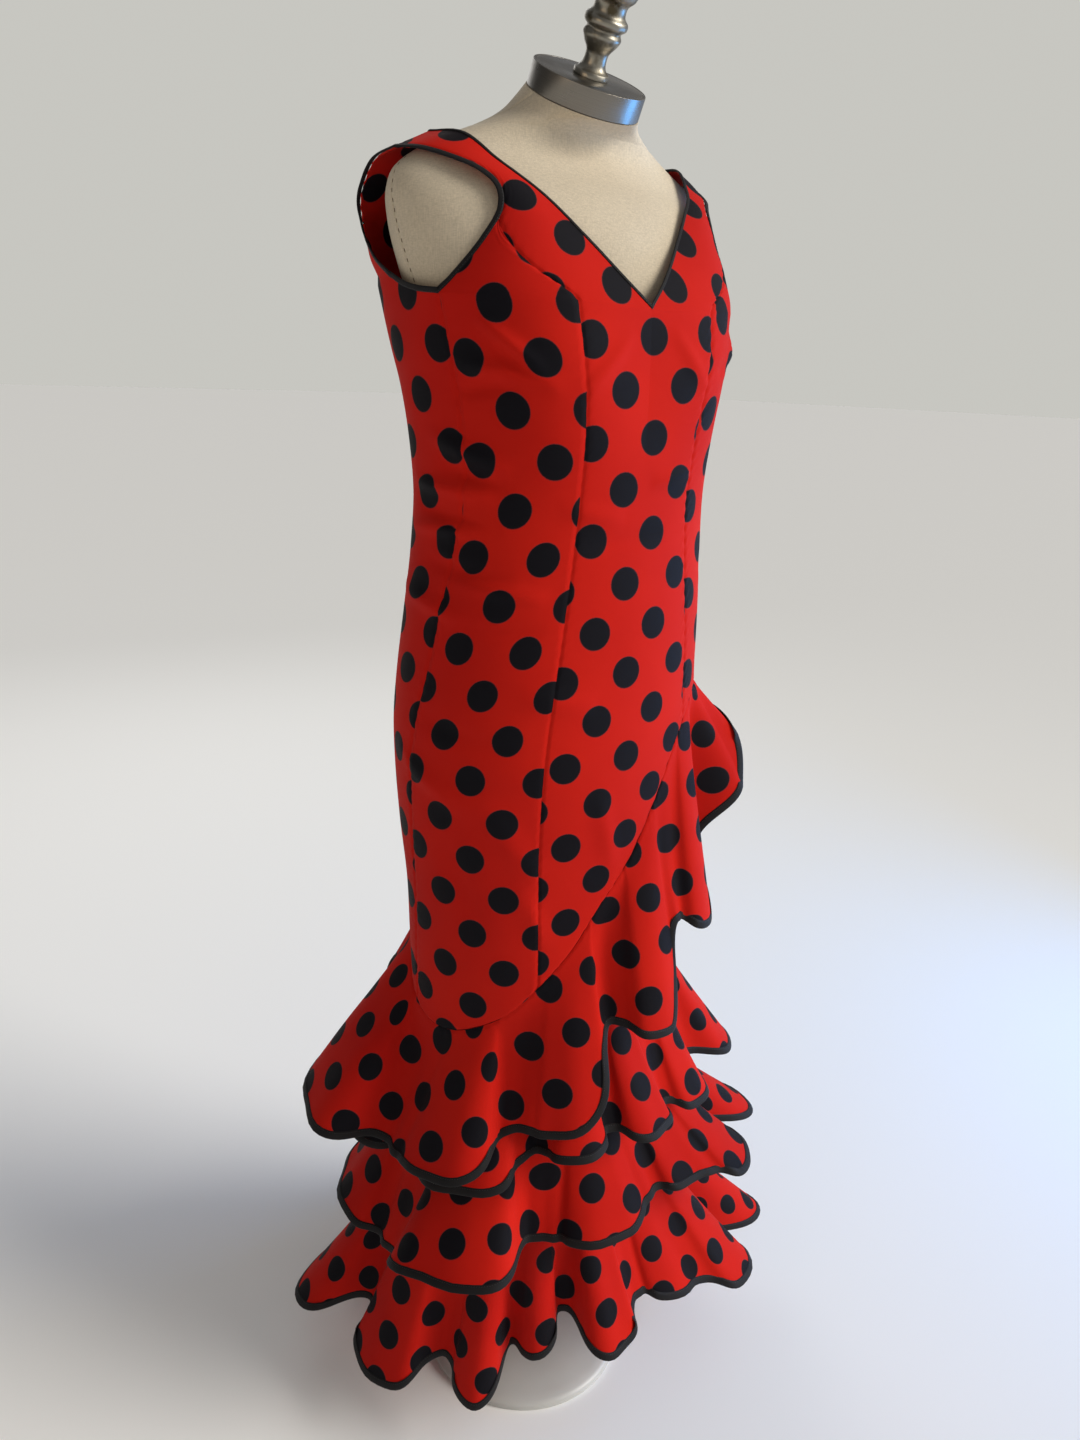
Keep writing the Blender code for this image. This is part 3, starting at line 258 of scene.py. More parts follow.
def linen_finish():
    """Stretched undyed linen: uneven flat threads with slubs, quite matt. The threads are drawn 1.1 mm apart,
    about twice the real spacing, so that they show."""
    material, tree, output = new_finish("stretched_linen_cover")
    place = add_node(tree, "ShaderNodeTexCoord").outputs["Object"]
    slub_rows = add_node(
        tree, "ShaderNodeMapping", {"Scale": (260.0, 260.0, 1 / LINEN_THREAD)}, {"Vector": place}
    )
    slubs = add_node(
        tree, "ShaderNodeTexNoise", {"Scale": 1.0, "Detail": 2.0}, {"Vector": slub_rows.outputs[0]}
    )
    warp_rows = add_node(tree, "ShaderNodeMapping", {"Scale": (900.0, 900.0, 90.0)}, {"Vector": place})
    warp = add_node(
        tree, "ShaderNodeTexNoise", {"Scale": 1.0, "Detail": 2.0}, {"Vector": warp_rows.outputs[0]}
    )
    soil = add_node(tree, "ShaderNodeTexNoise", {"Scale": 6.0, "Detail": 4.0}, {"Vector": place})
    threads = add_node(
        tree, "ShaderNodeMath", {"operation": "ADD"}, {0: slubs.outputs["Fac"], 1: warp.outputs["Fac"]}
    )
    tone = add_node(tree, "ShaderNodeValToRGB", {}, {"Fac": soil.outputs["Fac"]})
    tone.color_ramp.elements[0].position = 0.30
    tone.color_ramp.elements[0].color = linear("C0B29A")
    tone.color_ramp.elements[1].position = 0.70
    tone.color_ramp.elements[1].color = linear("D0C3AC")
    weave = add_node(
        tree,
        "ShaderNodeMix",
        {"data_type": "RGBA", "blend_type": "MULTIPLY", 0: 0.30},
        {6: tone.outputs["Color"]},
    )
    shade = add_node(
        tree, "ShaderNodeMapRange", {"From Min": 0.7, "From Max": 1.3, "To Min": 0.55, "To Max": 1.35}
    )
    tree.links.new(threads.outputs[0], shade.inputs["Value"])
    tree.links.new(shade.outputs["Result"], weave.inputs[7])
    bump = add_node(
        tree, "ShaderNodeBump", {"Strength": 0.35, "Distance": 0.0004}, {"Height": threads.outputs[0]}
    )
    shader = add_node(
        tree,
        "ShaderNodeBsdfPrincipled",
        {"Roughness": 0.88, "Sheen Weight": 0.12, "Sheen Roughness": 0.5, "IOR": 1.45},
        {"Base Color": weave.outputs[2], "Normal": bump.outputs["Normal"]},
    )
    tree.links.new(shader.outputs["BSDF"], output.inputs["Surface"])
    return material


def closed_rings(name, rings, finish):
    """A closed body from rings of points, the lowest first, with flat ends."""
    count = len(rings[0])
    faces = []
    for ring in range(len(rings) - 1):
        low = ring * count
        for column in range(count):
            right = (column + 1) % count
            faces.append((low + column, low + right, low + count + right, low + count + column))
    faces.append(tuple(range(count))[::-1])
    first = (len(rings) - 1) * count
    faces.append(tuple(range(first, first + count)))
    mesh = bpy.data.meshes.new(name)
    mesh.from_pydata([tuple(point) for ring in rings for point in ring], [], faces)
    return add_piece(name, mesh, finish)


def add_piece(name, mesh, finish, sharp_angle=40.0):
    """Puts a mesh in the scene, smooth but for its sharp edges."""
    mesh.shade_smooth()
    mesh.set_sharp_from_angle(angle=radians(sharp_angle))
    mesh.materials.append(finish)
    thing = bpy.data.objects.new(name, mesh)
    bpy.context.scene.collection.objects.link(thing)
    return thing


def form_seam_dip(angle, height, radius):
    """How far the cover is drawn in at its seams."""
    beside = [np.abs(wrap(angle - seam)) for seam in FORM_SEAM_ANGLES]
    off = np.radians(np.min(beside, axis=0)) * radius
    dip = np.exp(-((off / FORM_SEAM_WIDTH) ** 2))
    neck = np.exp(-(((height - NECK_SEAM_HEIGHT) / FORM_SEAM_WIDTH) ** 2))
    return FORM_SEAM_DEPTH * np.maximum(dip, 0.6 * neck)


beside_seam = np.array([-2.4, -1.5, -0.9, -0.5, -0.25, 0.0, 0.25, 0.5, 0.9, 1.5, 2.4])
form_angles = np.concatenate(
    [np.linspace(0.0, TURN, FORM_COLUMNS, endpoint=False)] + [seam + beside_seam for seam in FORM_SEAM_ANGLES]
)
form_angles = np.unique(np.round(form_angles, 3))
form_bottom = FORM_SECTIONS[0].height
form_top = FORM_SECTIONS[-1].height
form_heights = form_bottom + (form_top - form_bottom) * (
    1 - (1 - np.linspace(0, 1, FORM_ROWS)) ** FORM_ROW_EASE
)
beside_neck = NECK_SEAM_HEIGHT + np.array([-0.004, -0.002, -0.001, 0.0, 0.001, 0.002, 0.004])
form_heights = np.unique(np.round(np.concatenate((form_heights, beside_neck)), 5))
form_rings = []
for height in form_heights:
    points = form_point(form_angles, height)
    middle = points.mean(axis=1, keepdims=True)
    spokes = points - middle
    radius = np.linalg.norm(spokes, axis=0)
    dip = form_seam_dip(form_angles, height, radius)
    form_rings.append((middle + spokes * (1 - dip / radius)).T)
linen = linen_finish()
form_torso = closed_rings("torso_cover", form_rings, linen)
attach(form_torso, "dress_on_form")
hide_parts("form_torso")


# The neck ring: a rolled band of stainless steel with a flat plate let into its top, both brushed along
# their round. It stands square on the leaning neck.
NECK_TILT = 27.0
NECK_CENTRE_Y = -0.0256
NECK_CENTRE_Z = 1.5765
TOUCH_GAP = 0.0003
RING_HEIGHT = 0.023
RING_SIDES = 144
TurnedPoint = namedtuple("TurnedPoint", "radius height")
RING_PROFILE = (
    TurnedPoint(0.0000, 0.0000),
    TurnedPoint(0.0563, 0.0000),
    TurnedPoint(0.0570, 0.0002),
    TurnedPoint(0.0574, 0.0006),
    TurnedPoint(0.0575, 0.0012),
    TurnedPoint(0.0575, 0.0218),
    TurnedPoint(0.0574, 0.0224),
    TurnedPoint(0.0570, 0.0228),
    TurnedPoint(0.0563, 0.0230),
    TurnedPoint(0.0553, 0.0230),
    TurnedPoint(0.0549, 0.0228),
    TurnedPoint(0.0546, 0.0222),
    TurnedPoint(0.0543, 0.0222),
    TurnedPoint(0.0540, 0.0227),
    TurnedPoint(0.0536, 0.0229),
    TurnedPoint(0.0300, 0.0230),
    TurnedPoint(0.0000, 0.0230),
)
neck_lean = Matrix.Translation((0.0, NECK_CENTRE_Y, NECK_CENTRE_Z)) @ Matrix.Rotation(
    radians(NECK_TILT), 4, "X"
)


def turned_piece(name, profile, sides, finish, lift=0.0, lean=None, sharp_angle=30.0):
    """A turned piece from a profile that runs from the bottom of the axis to its top."""
    shape = bmesh.new()
    angles = np.linspace(0.0, 2 * np.pi, sides, endpoint=False)
    rings = []
    for point in profile:
        if point.radius == 0.0:
            rings.append([shape.verts.new((0.0, 0.0, point.height + lift))])
        else:
            spots = [(point.radius * cos(a), point.radius * sin(a), point.height + lift) for a in angles]
            rings.append([shape.verts.new(spot) for spot in spots])
    for low, high in zip(rings, rings[1:]):
        for side in range(sides):
            after = (side + 1) % sides
            if len(low) == 1:
                shape.faces.new((low[0], high[after], high[side]))
            elif len(high) == 1:
                shape.faces.new((low[side], low[after], high[0]))
            else:
                shape.faces.new((low[side], low[after], high[after], high[side]))
    bmesh.ops.recalc_face_normals(shape, faces=shape.faces)
    if lean is not None:
        bmesh.ops.transform(shape, matrix=lean, verts=shape.verts)
    mesh = bpy.data.meshes.new(name)
    shape.to_mesh(mesh)
    shape.free()
    return add_piece(name, mesh, finish, sharp_angle)


def brushed_steel_finish(name, lean, along_axis):
    """Stainless steel brushed along its round, or a pole's length: fine parallel scratches that stretch each
    reflection across them. The scratches are drawn about 0.3 mm apart."""
    material, tree, output = new_finish(name)
    place = add_node(tree, "ShaderNodeTexCoord").outputs["Object"]
    centred = add_node(tree, "ShaderNodeMapping", {"vector_type": "TEXTURE"}, {"Vector": place})
    centred.inputs["Location"].default_value = lean.to_translation()
    centred.inputs["Rotation"].default_value = lean.to_euler()
    parts_of = add_node(tree, "ShaderNodeSeparateXYZ", {}, {"Vector": centred.outputs[0]})
    flat = add_node(tree, "ShaderNodeCombineXYZ", {}, {0: parts_of.outputs[0], 1: parts_of.outputs[1]})
    radius = add_node(tree, "ShaderNodeVectorMath", {"operation": "LENGTH"}, {0: flat.outputs[0]})
    height = parts_of.outputs[2]
    if along_axis:
        strip = add_node(
            tree, "ShaderNodeMapping", {"Scale": (3200.0, 3200.0, 8.0)}, {"Vector": centred.outputs[0]}
        )
    else:
        around = add_node(tree, "ShaderNodeCombineXYZ", {}, {0: radius.outputs["Value"], 1: height})
        strip = add_node(
            tree, "ShaderNodeMapping", {"Scale": (3200.0, 3200.0, 1.0)}, {"Vector": around.outputs[0]}
        )
    scratches = add_node(
        tree, "ShaderNodeTexNoise", {"Scale": 1.0, "Detail": 3.0}, {"Vector": strip.outputs[0]}
    )
    dull = add_node(tree, "ShaderNodeTexNoise", {"Scale": 38.0, "Detail": 3.0}, {"Vector": place})
    tone = add_node(tree, "ShaderNodeValToRGB", {}, {"Fac": scratches.outputs["Fac"]})
    tone.color_ramp.elements[0].position = 0.25
    tone.color_ramp.elements[0].color = linear("6A655D")
    tone.color_ramp.elements[1].position = 0.75
    tone.color_ramp.elements[1].color = linear("969087")
    roughness = add_node(
        tree,
        "ShaderNodeMapRange",
        {"From Min": 0.3, "From Max": 0.7, "To Min": 0.24, "To Max": 0.38},
        {"Value": dull.outputs["Fac"]},
    )
    bump = add_node(
        tree, "ShaderNodeBump", {"Strength": 0.12, "Distance": 0.0001}, {"Height": scratches.outputs["Fac"]}
    )
    shader = add_node(
        tree,
        "ShaderNodeBsdfPrincipled",
        {"Metallic": 1.0, "Anisotropic": 0.6},
        {
            "Base Color": tone.outputs["Color"],
            "Roughness": roughness.outputs["Result"],
            "Normal": bump.outputs["Normal"],
        },
    )
    tree.links.new(shader.outputs["BSDF"], output.inputs["Surface"])
    return material


ring_steel = brushed_steel_finish("stainless_steel_brushed_round", neck_lean, False)
ring = turned_piece("brushed_ring", RING_PROFILE, RING_SIDES, ring_steel, TOUCH_GAP, neck_lean)
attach(ring, "dress_on_form")
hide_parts("neck_ring")

# The finial: a turned and cast grip that screws the neck plate down, with a worn silver finish gone brown
# in its hollows.
FINIAL_PROFILE = (
    TurnedPoint(0.0175, 0.0000),
    TurnedPoint(0.0175, 0.0045),
    TurnedPoint(0.0140, 0.0070),
    TurnedPoint(0.0115, 0.0120),
    TurnedPoint(0.0115, 0.0210),
    TurnedPoint(0.0165, 0.0290),
    TurnedPoint(0.0190, 0.0350),
    TurnedPoint(0.0170, 0.0400),
    TurnedPoint(0.0210, 0.0440),
    TurnedPoint(0.0210, 0.0490),
    TurnedPoint(0.0165, 0.0540),
    TurnedPoint(0.0165, 0.0620),
    TurnedPoint(0.0215, 0.0680),
    TurnedPoint(0.0235, 0.0760),
    TurnedPoint(0.0205, 0.0840),
    TurnedPoint(0.0130, 0.0890),
    TurnedPoint(0.0120, 0.0950),
    TurnedPoint(0.0155, 0.1030),
    TurnedPoint(0.0145, 0.1110),
    TurnedPoint(0.0080, 0.1185),
    TurnedPoint(0.0010, 0.1210),
)
FINIAL_SIDES = 72
FINIAL_STEPS_PER_POINT = 6


def rounded_profile(points, steps):
    """The same profile with its hollows and beads rounded, between the points that it passes through."""
    places = np.arange(len(points))
    numbered = [(place, *point) for place, point in zip(places, points)]
    Numbered = namedtuple("Numbered", "place radius height")
    table = [Numbered(*row) for row in numbered]
    at = np.linspace(0, len(points) - 1, (len(points) - 1) * steps + 1)
    radii = read_table(table, "place", "radius", at)
    heights = read_table(table, "place", "height", at)
    return [TurnedPoint(radius, height) for radius, height in zip(radii, heights)]


def aged_silver_finish():
    """Cast zinc with a worn silver plate: bright where hands rub it, brown and duller where tarnish stays."""
    material, tree, output = new_finish("cast_zinc_aged_silver_plate")
    place = add_node(tree, "ShaderNodeTexCoord").outputs["Object"]
    tarnish = add_node(tree, "ShaderNodeTexNoise", {"Scale": 70.0, "Detail": 5.0}, {"Vector": place})
    pits = add_node(tree, "ShaderNodeTexNoise", {"Scale": 900.0, "Detail": 2.0}, {"Vector": place})
    edges = add_node(tree, "ShaderNodeNewGeometry")
    worn = add_node(
        tree,
        "ShaderNodeMath",
        {"operation": "ADD"},
        {0: tarnish.outputs["Fac"], 1: edges.outputs["Pointiness"]},
    )
    tone = add_node(tree, "ShaderNodeValToRGB", {}, {"Fac": worn.outputs[0]})
    tone.color_ramp.elements[0].position = 0.82
    tone.color_ramp.elements[0].color = linear("544C3B")
    tone.color_ramp.elements[1].position = 1.0
    tone.color_ramp.elements[1].color = linear("918C80")
    roughness = add_node(
        tree,
        "ShaderNodeMapRange",
        {"From Min": 0.85, "From Max": 1.1, "To Min": 0.52, "To Max": 0.30},
        {"Value": worn.outputs[0]},
    )
    bump = add_node(
        tree, "ShaderNodeBump", {"Strength": 0.25, "Distance": 0.0003}, {"Height": pits.outputs["Fac"]}
    )
    shader = add_node(
        tree,
        "ShaderNodeBsdfPrincipled",
        {"Metallic": 1.0},
        {
            "Base Color": tone.outputs["Color"],
            "Roughness": roughness.outputs["Result"],
            "Normal": bump.outputs["Normal"],
        },
    )
    tree.links.new(shader.outputs["BSDF"], output.inputs["Surface"])
    return material


foot = [TurnedPoint(0.0, 0.0), FINIAL_PROFILE[0]]
crown = [TurnedPoint(0.0, FINIAL_PROFILE[-1].height)]
finial_profile = foot + rounded_profile(FINIAL_PROFILE[1:], FINIAL_STEPS_PER_POINT) + crown
finial_lift = TOUCH_GAP + RING_HEIGHT + TOUCH_GAP
finial = turned_piece(
    "turned_finial", finial_profile, FINIAL_SIDES, aged_silver_finish(), finial_lift, neck_lean, 60.0
)
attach(finial, "dress_on_form")
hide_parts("finial")

# The stand: a brushed steel pole in a pressed steel base, painted satin grey. The photograph is cut off
# above it, so both are plain typical ones.
POLE_RADIUS = 0.016
POLE_SIDES = 64
POLE_EDGE = 0.0006
BASE_TOP = 0.026
BASE_SIDES = 160
BASE_PROFILE = (
    TurnedPoint(0.0000, 0.0000),
    TurnedPoint(0.1343, 0.0000),
    TurnedPoint(0.1350, 0.0008),
    TurnedPoint(0.1350, 0.0050),
    TurnedPoint(0.1346, 0.0070),
    TurnedPoint(0.1330, 0.0090),
    TurnedPoint(0.1290, 0.0109),
    TurnedPoint(0.1200, 0.0130),
    TurnedPoint(0.0900, 0.0155),
    TurnedPoint(0.0600, 0.0177),
    TurnedPoint(0.0340, 0.0197),
    TurnedPoint(0.0300, 0.0205),
    TurnedPoint(0.0276, 0.0222),
    TurnedPoint(0.0262, 0.0244),
    TurnedPoint(0.0240, 0.0258),
    TurnedPoint(0.0225, 0.0260),
    TurnedPoint(0.0000, 0.0260),
)


def satin_paint_finish():
    """Grey enamel sprayed on pressed steel: even and satin, with a faint orange-peel skin."""
    material, tree, output = new_finish("satin_grey_enamel")
    place = add_node(tree, "ShaderNodeTexCoord").outputs["Object"]
    peel = add_node(tree, "ShaderNodeTexNoise", {"Scale": 700.0, "Detail": 1.0}, {"Vector": place})
    cloud = add_node(tree, "ShaderNodeTexNoise", {"Scale": 14.0, "Detail": 3.0}, {"Vector": place})
    tone = add_node(tree, "ShaderNodeValToRGB", {}, {"Fac": cloud.outputs["Fac"]})
    tone.color_ramp.elements[0].color = linear("B4B3AE")
    tone.color_ramp.elements[1].color = linear("C6C5C1")
    bump = add_node(
        tree, "ShaderNodeBump", {"Strength": 0.08, "Distance": 0.0003}, {"Height": peel.outputs["Fac"]}
    )
    shader = add_node(
        tree,
        "ShaderNodeBsdfPrincipled",
        {"Roughness": 0.42, "Coat Weight": 0.15, "Coat Roughness": 0.3},
        {"Base Color": tone.outputs["Color"], "Normal": bump.outputs["Normal"]},
    )
    tree.links.new(shader.outputs["BSDF"], output.inputs["Surface"])
    return material


pole_bottom = BASE_TOP + TOUCH_GAP
pole_top = FORM_SECTIONS[0].height - TOUCH_GAP
pole_profile = (
    TurnedPoint(0.0, pole_bottom),
    TurnedPoint(POLE_RADIUS - POLE_EDGE, pole_bottom),
    TurnedPoint(POLE_RADIUS, pole_bottom + POLE_EDGE),
    TurnedPoint(POLE_RADIUS, pole_top - POLE_EDGE),
    TurnedPoint(POLE_RADIUS - POLE_EDGE, pole_top),
    TurnedPoint(0.0, pole_top),
)
pole_steel = brushed_steel_finish("stainless_steel_brushed_long", Matrix.Identity(4), True)
pole = turned_piece("round_pole", pole_profile, POLE_SIDES, pole_steel)
base = turned_piece("pressed_base", BASE_PROFILE, BASE_SIDES, satin_paint_finish())
for piece, node, finish in (
    (pole, "stand_pole", "brushed_steel"),
    (base, "stand_base", "painted_stand_steel"),
):
    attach(piece, "dress_on_form")
    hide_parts(node)


# The sheath: seven panels of red cotton printed with black dots, cut with their grain upright and joined by
# plain pressed seams. Each panel is cut where it falls on the print, so the dots don't match at the seams.
CLOTH_WALL = 0.0012
DOT_ACROSS = 0.0745
DOT_DOWN = 0.0940
DOT_RADIUS = 0.0170
COTTON_THREAD = 0.0009
BUST_REACH = 0.016
BUST_HEIGHT = 1.335
BUST_FALL = 0.085
Section = namedtuple("Section", "height half_width front back front_corner back_corner")
SHEATH_SECTIONS = (
    Section(0.500, 0.1612, 0.1400, 0.1300, 0.00, 0.00),
    Section(0.600, 0.1657, 0.1420, 0.1290, 0.00, 0.00),
    Section(0.670, 0.1688, 0.1440, 0.1280, 0.00, 0.00),
    Section(0.740, 0.1720, 0.1460, 0.1280, 0.00, 0.00),
    Section(0.830, 0.1800, 0.1510, 0.1350, 0.00, 0.02),
    Section(0.900, 0.1840, 0.1540, 0.1400, 0.01, 0.02),
    Section(0.950, 0.1850, 0.1550, 0.1370, 0.01, 0.02),
    Section(1.000, 0.1820, 0.1550, 0.1300, 0.01, 0.02),
    Section(1.070, 0.1760, 0.1550, 0.1160, 0.02, 0.02),
    Section(1.150, 0.1680, 0.1520, 0.1040, 0.03, 0.02),
    Section(1.200, 0.1650, 0.1510, 0.1010, 0.03, 0.02),
    Section(1.250, 0.1680, 0.1520, 0.1030, 0.02, 0.03),
    Section(1.300, 0.1740, 0.1510, 0.1140, 0.01, 0.04),
    Section(1.350, 0.1810, 0.1490, 0.1270, 0.02, 0.08),
    Section(1.400, 0.1860, 0.1470, 0.1310, 0.06, 0.13),
)
# Seams that run up the sheath, as section angles from the centre front
SeamAngle = namedtuple("SeamAngle", "height angle")
FRONT_PRINCESS = (
    SeamAngle(0.660, 31.0),
    SeamAngle(0.894, 31.5),
    SeamAngle(1.058, 28.0),
    SeamAngle(1.186, 25.0),
    SeamAngle(1.294, 23.5),
    SeamAngle(1.400, 25.5),
)
SIDE_SEAM = (
    SeamAngle(0.600, 97.0),
    SeamAngle(0.716, 94.0),
    SeamAngle(0.880, 88.5),
    SeamAngle(0.940, 86.0),
    SeamAngle(1.044, 77.5),
    SeamAngle(1.140, 71.0),
    SeamAngle(1.200, 67.0),
    SeamAngle(1.276, 66.5),
    SeamAngle(1.400, 70.5),
)
BACK_PRINCESS = (
    SeamAngle(0.600, 142.0),
    SeamAngle(0.900, 141.0),
    SeamAngle(1.200, 138.0),
    SeamAngle(1.400, 134.0),
)

# The slanting hem seam: lowest on the wearer's right, highest on the left hip
LineHeight = namedtuple("LineHeight", "angle height")
HEM_SEAM = (
    LineHeight(-300.0, 0.985),
    LineHeight(-270.0, 0.975),
    LineHeight(-240.0, 0.945),
    LineHeight(-210.0, 0.895),
    LineHeight(-180.0, 0.830),
    LineHeight(-150.0, 0.745),
    LineHeight(-126.0, 0.668),
    LineHeight(-107.0, 0.612),
    LineHeight(-90.0, 0.586),
    LineHeight(-75.0, 0.585),
    LineHeight(-60.0, 0.602),
    LineHeight(-46.0, 0.626),
    LineHeight(-33.0, 0.664),
    LineHeight(-20.0, 0.705),
    LineHeight(-7.0, 0.757),
    LineHeight(1.0, 0.785),
    LineHeight(10.0, 0.825),
    LineHeight(20.0, 0.876),
    LineHeight(30.0, 0.930),
    LineHeight(43.0, 0.972),
    LineHeight(60.0, 0.985),
)
TURN = 360.0
HEM_SEAM_END = 60.0
# The underarm level, which follows the armhole behind the side seam, by section angle
UNDERARM_LINE = (
    LineHeight(0.0, 1.3840),
    LineHeight(40.0, 1.3874),
    LineHeight(70.5, 1.3900),
    LineHeight(81.0, 1.3925),
    LineHeight(91.7, 1.3985),
    LineHeight(102.3, 1.4070),
    LineHeight(120.0, 1.4100),
    LineHeight(150.0, 1.4080),
    LineHeight(180.0, 1.4050),
)
# Neck and armhole edges above the underarm, on the wearer's left
EdgePoint = namedtuple("EdgePoint", "share x y z")
NECK_FRONT = (
    EdgePoint(0.00, 0.000, -0.1490, 1.3840),
    EdgePoint(0.20, 0.028, -0.1350, 1.4110),
    EdgePoint(0.40, 0.057, -0.1150, 1.4430),
    EdgePoint(0.60, 0.088, -0.0885, 1.4780),
    EdgePoint(0.80, 0.119, -0.0550, 1.5080),
    EdgePoint(0.92, 0.137, -0.0180, 1.5330),
    EdgePoint(1.00, 0.146, 0.0200, 1.5375),
)
NECK_BACK = (
    EdgePoint(0.00, 0.000, 0.1310, 1.4050),
    EdgePoint(0.20, 0.033, 0.1250, 1.4300),
    EdgePoint(0.40, 0.065, 0.1140, 1.4590),
    EdgePoint(0.60, 0.095, 0.0960, 1.4880),
    EdgePoint(0.80, 0.122, 0.0700, 1.5150),
    EdgePoint(0.92, 0.139, 0.0430, 1.5335),
    EdgePoint(1.00, 0.146, 0.0200, 1.5375),
)
ARMHOLE_FRONT = (
    EdgePoint(0.00, 0.178, -0.0500, 1.3900),
    EdgePoint(0.20, 0.169, -0.0640, 1.4040),
    EdgePoint(0.40, 0.147, -0.0820, 1.4370),
    EdgePoint(0.55, 0.131, -0.0850, 1.4640),
    EdgePoint(0.70, 0.131, -0.0730, 1.4880),
    EdgePoint(0.85, 0.153, -0.0430, 1.5070),
    EdgePoint(0.94, 0.173, -0.0080, 1.5180),
    EdgePoint(1.00, 0.182, 0.0180, 1.5205),
)
ARMHOLE_BACK = (
    EdgePoint(0.00, 0.185, 0.0280, 1.4070),
    EdgePoint(0.25, 0.187, 0.0600, 1.4270),
    EdgePoint(0.50, 0.188, 0.0820, 1.4580),
    EdgePoint(0.75, 0.189, 0.0780, 1.4920),
    EdgePoint(0.90, 0.187, 0.0480, 1.5150),
    EdgePoint(1.00, 0.182, 0.0180, 1.5205),
)
SEAM_END_SHARE = 0.50
FRONT_SEAM_BASE = 25.5 / 70.5
BACK_SEAM_BASE = (180.0 - 134.0) / (180.0 - 102.25)
CORNER_SHARE = 0.50
SETTLING_STEPS = 8

# Soft troughs (negative depth) and ridges in the worn cloth: each starts at a place on the sheath, given by
# its angle from the centre front and its height, and turns and drops from there
Crease = namedtuple("Crease", "angle height turn drop width depth")
CREASES = (
    Crease(-62.0, 1.372, 22.0, 0.050, 0.0066, 0.0068),
    Crease(-58.0, 1.352, 20.0, 0.052, 0.0059, -0.0037),
    Crease(-70.0, 1.330, 36.0, 0.020, 0.0079, 0.0055),
    Crease(-74.0, 1.300, 30.0, -0.016, 0.0073, -0.0037),
    Crease(-84.0, 1.262, 34.0, 0.030, 0.0079, 0.0059),
    Crease(-80.0, 1.235, 30.0, 0.022, 0.0066, -0.0041),
    Crease(-96.0, 1.215, 40.0, 0.010, 0.0073, 0.0064),
    Crease(-90.0, 1.188, 36.0, 0.014, 0.0066, -0.0043),
    Crease(-100.0, 1.168, 44.0, -0.006, 0.0079, 0.0059),
    Crease(-88.0, 1.138, 40.0, 0.016, 0.0079, -0.0037),
    Crease(-70.0, 1.120, 34.0, 0.010, 0.0086, 0.0046),
    Crease(-104.0, 1.105, 40.0, 0.024, 0.0092, 0.0050),
    Crease(-66.0, 1.068, 30.0, -0.008, 0.0092, -0.0026),
    Crease(-34.0, 1.196, 26.0, 0.008, 0.0086, 0.0030),
    Crease(-26.0, 1.160, 40.0, -0.010, 0.0099, -0.0020),
    Crease(4.0, 1.220, 24.0, -0.012, 0.0079, 0.0032),
    Crease(-8.0, 1.362, -20.0, 0.060, 0.0079, 0.0032),
    Crease(10.0, 1.368, 18.0, 0.060, 0.0079, 0.0028),
    Crease(-46.0, 1.006, 30.0, 0.010, 0.0132, 0.0032),
    Crease(-84.0, 0.975, 36.0, 0.034, 0.0119, -0.0030),
    Crease(-98.0, 0.930, 40.0, 0.060, 0.0132, 0.0046),
    Crease(-60.0, 0.900, 24.0, 0.110, 0.0145, 0.0041),
    Crease(-74.0, 0.840, 16.0, 0.120, 0.0132, -0.0026),
    Crease(-46.0, 0.800, 14.0, 0.090, 0.0119, 0.0032),
    Crease(-14.0, 0.900, 12.0, 0.110, 0.0119, 0.0028),
    Crease(58.0, 1.372, -20.0, 0.050, 0.0066, 0.0059),
    Crease(60.0, 1.340, -28.0, 0.010, 0.0073, -0.0034),
    Crease(78.0, 1.290, -26.0, 0.020, 0.0079, 0.0055),
    Crease(92.0, 1.225, -38.0, 0.016, 0.0073, 0.0064),
    Crease(88.0, 1.196, -36.0, 0.006, 0.0066, -0.0043),
    Crease(100.0, 1.172, -44.0, 0.010, 0.0079, 0.0059),
    Crease(84.0, 1.142, -36.0, 0.018, 0.0079, -0.0034),
    Crease(98.0, 1.098, -36.0, 0.020, 0.0092, 0.0041),
    Crease(96.0, 1.020, -30.0, -0.012, 0.0119, 0.0036),
    Crease(120.0, 1.000, -30.0, -0.030, 0.0132, 0.0041),
    Crease(176.0, 1.236, -46.0, 0.012, 0.0086, 0.0068),
    Crease(184.0, 1.226, 44.0, 0.018, 0.0086, 0.0064),
    Crease(172.0, 1.206, -40.0, 0.006, 0.0079, -0.0047),
    Crease(186.0, 1.200, 42.0, 0.000, 0.0079, -0.0043),
    Crease(178.0, 1.176, -50.0, 0.020, 0.0092, 0.0059),
    Crease(182.0, 1.166, 48.0, 0.016, 0.0092, 0.0059),
    Crease(168.0, 1.136, -36.0, 0.010, 0.0092, -0.0034),
    Crease(190.0, 1.128, 38.0, 0.022, 0.0099, -0.0030),
    Crease(150.0, 1.330, -26.0, 0.050, 0.0106, 0.0046),
    Crease(210.0, 1.336, 24.0, 0.056, 0.0106, 0.0050),
    Crease(160.0, 0.950, -14.0, 0.120, 0.0158, 0.0041),
    Crease(200.0, 0.945, 16.0, 0.110, 0.0145, 0.0036),
)
METRES_PER_DEGREE = 0.0029
SEAM_DIP = 0.0012
SEAM_DIP_WIDTH = 0.0026
PUCKER_DEPTH = 0.00045
PUCKER_LENGTH = 0.0135
PUCKER_REACH = 0.010
PANEL_COLUMNS = 22
PANEL_ROWS = 170
BODICE_ROWS = 64
BESIDE_SEAM = (0.006, 0.014, 0.026, 0.045)


def polar_angle(x, y):
    return np.degrees(np.arctan2(x, -y))


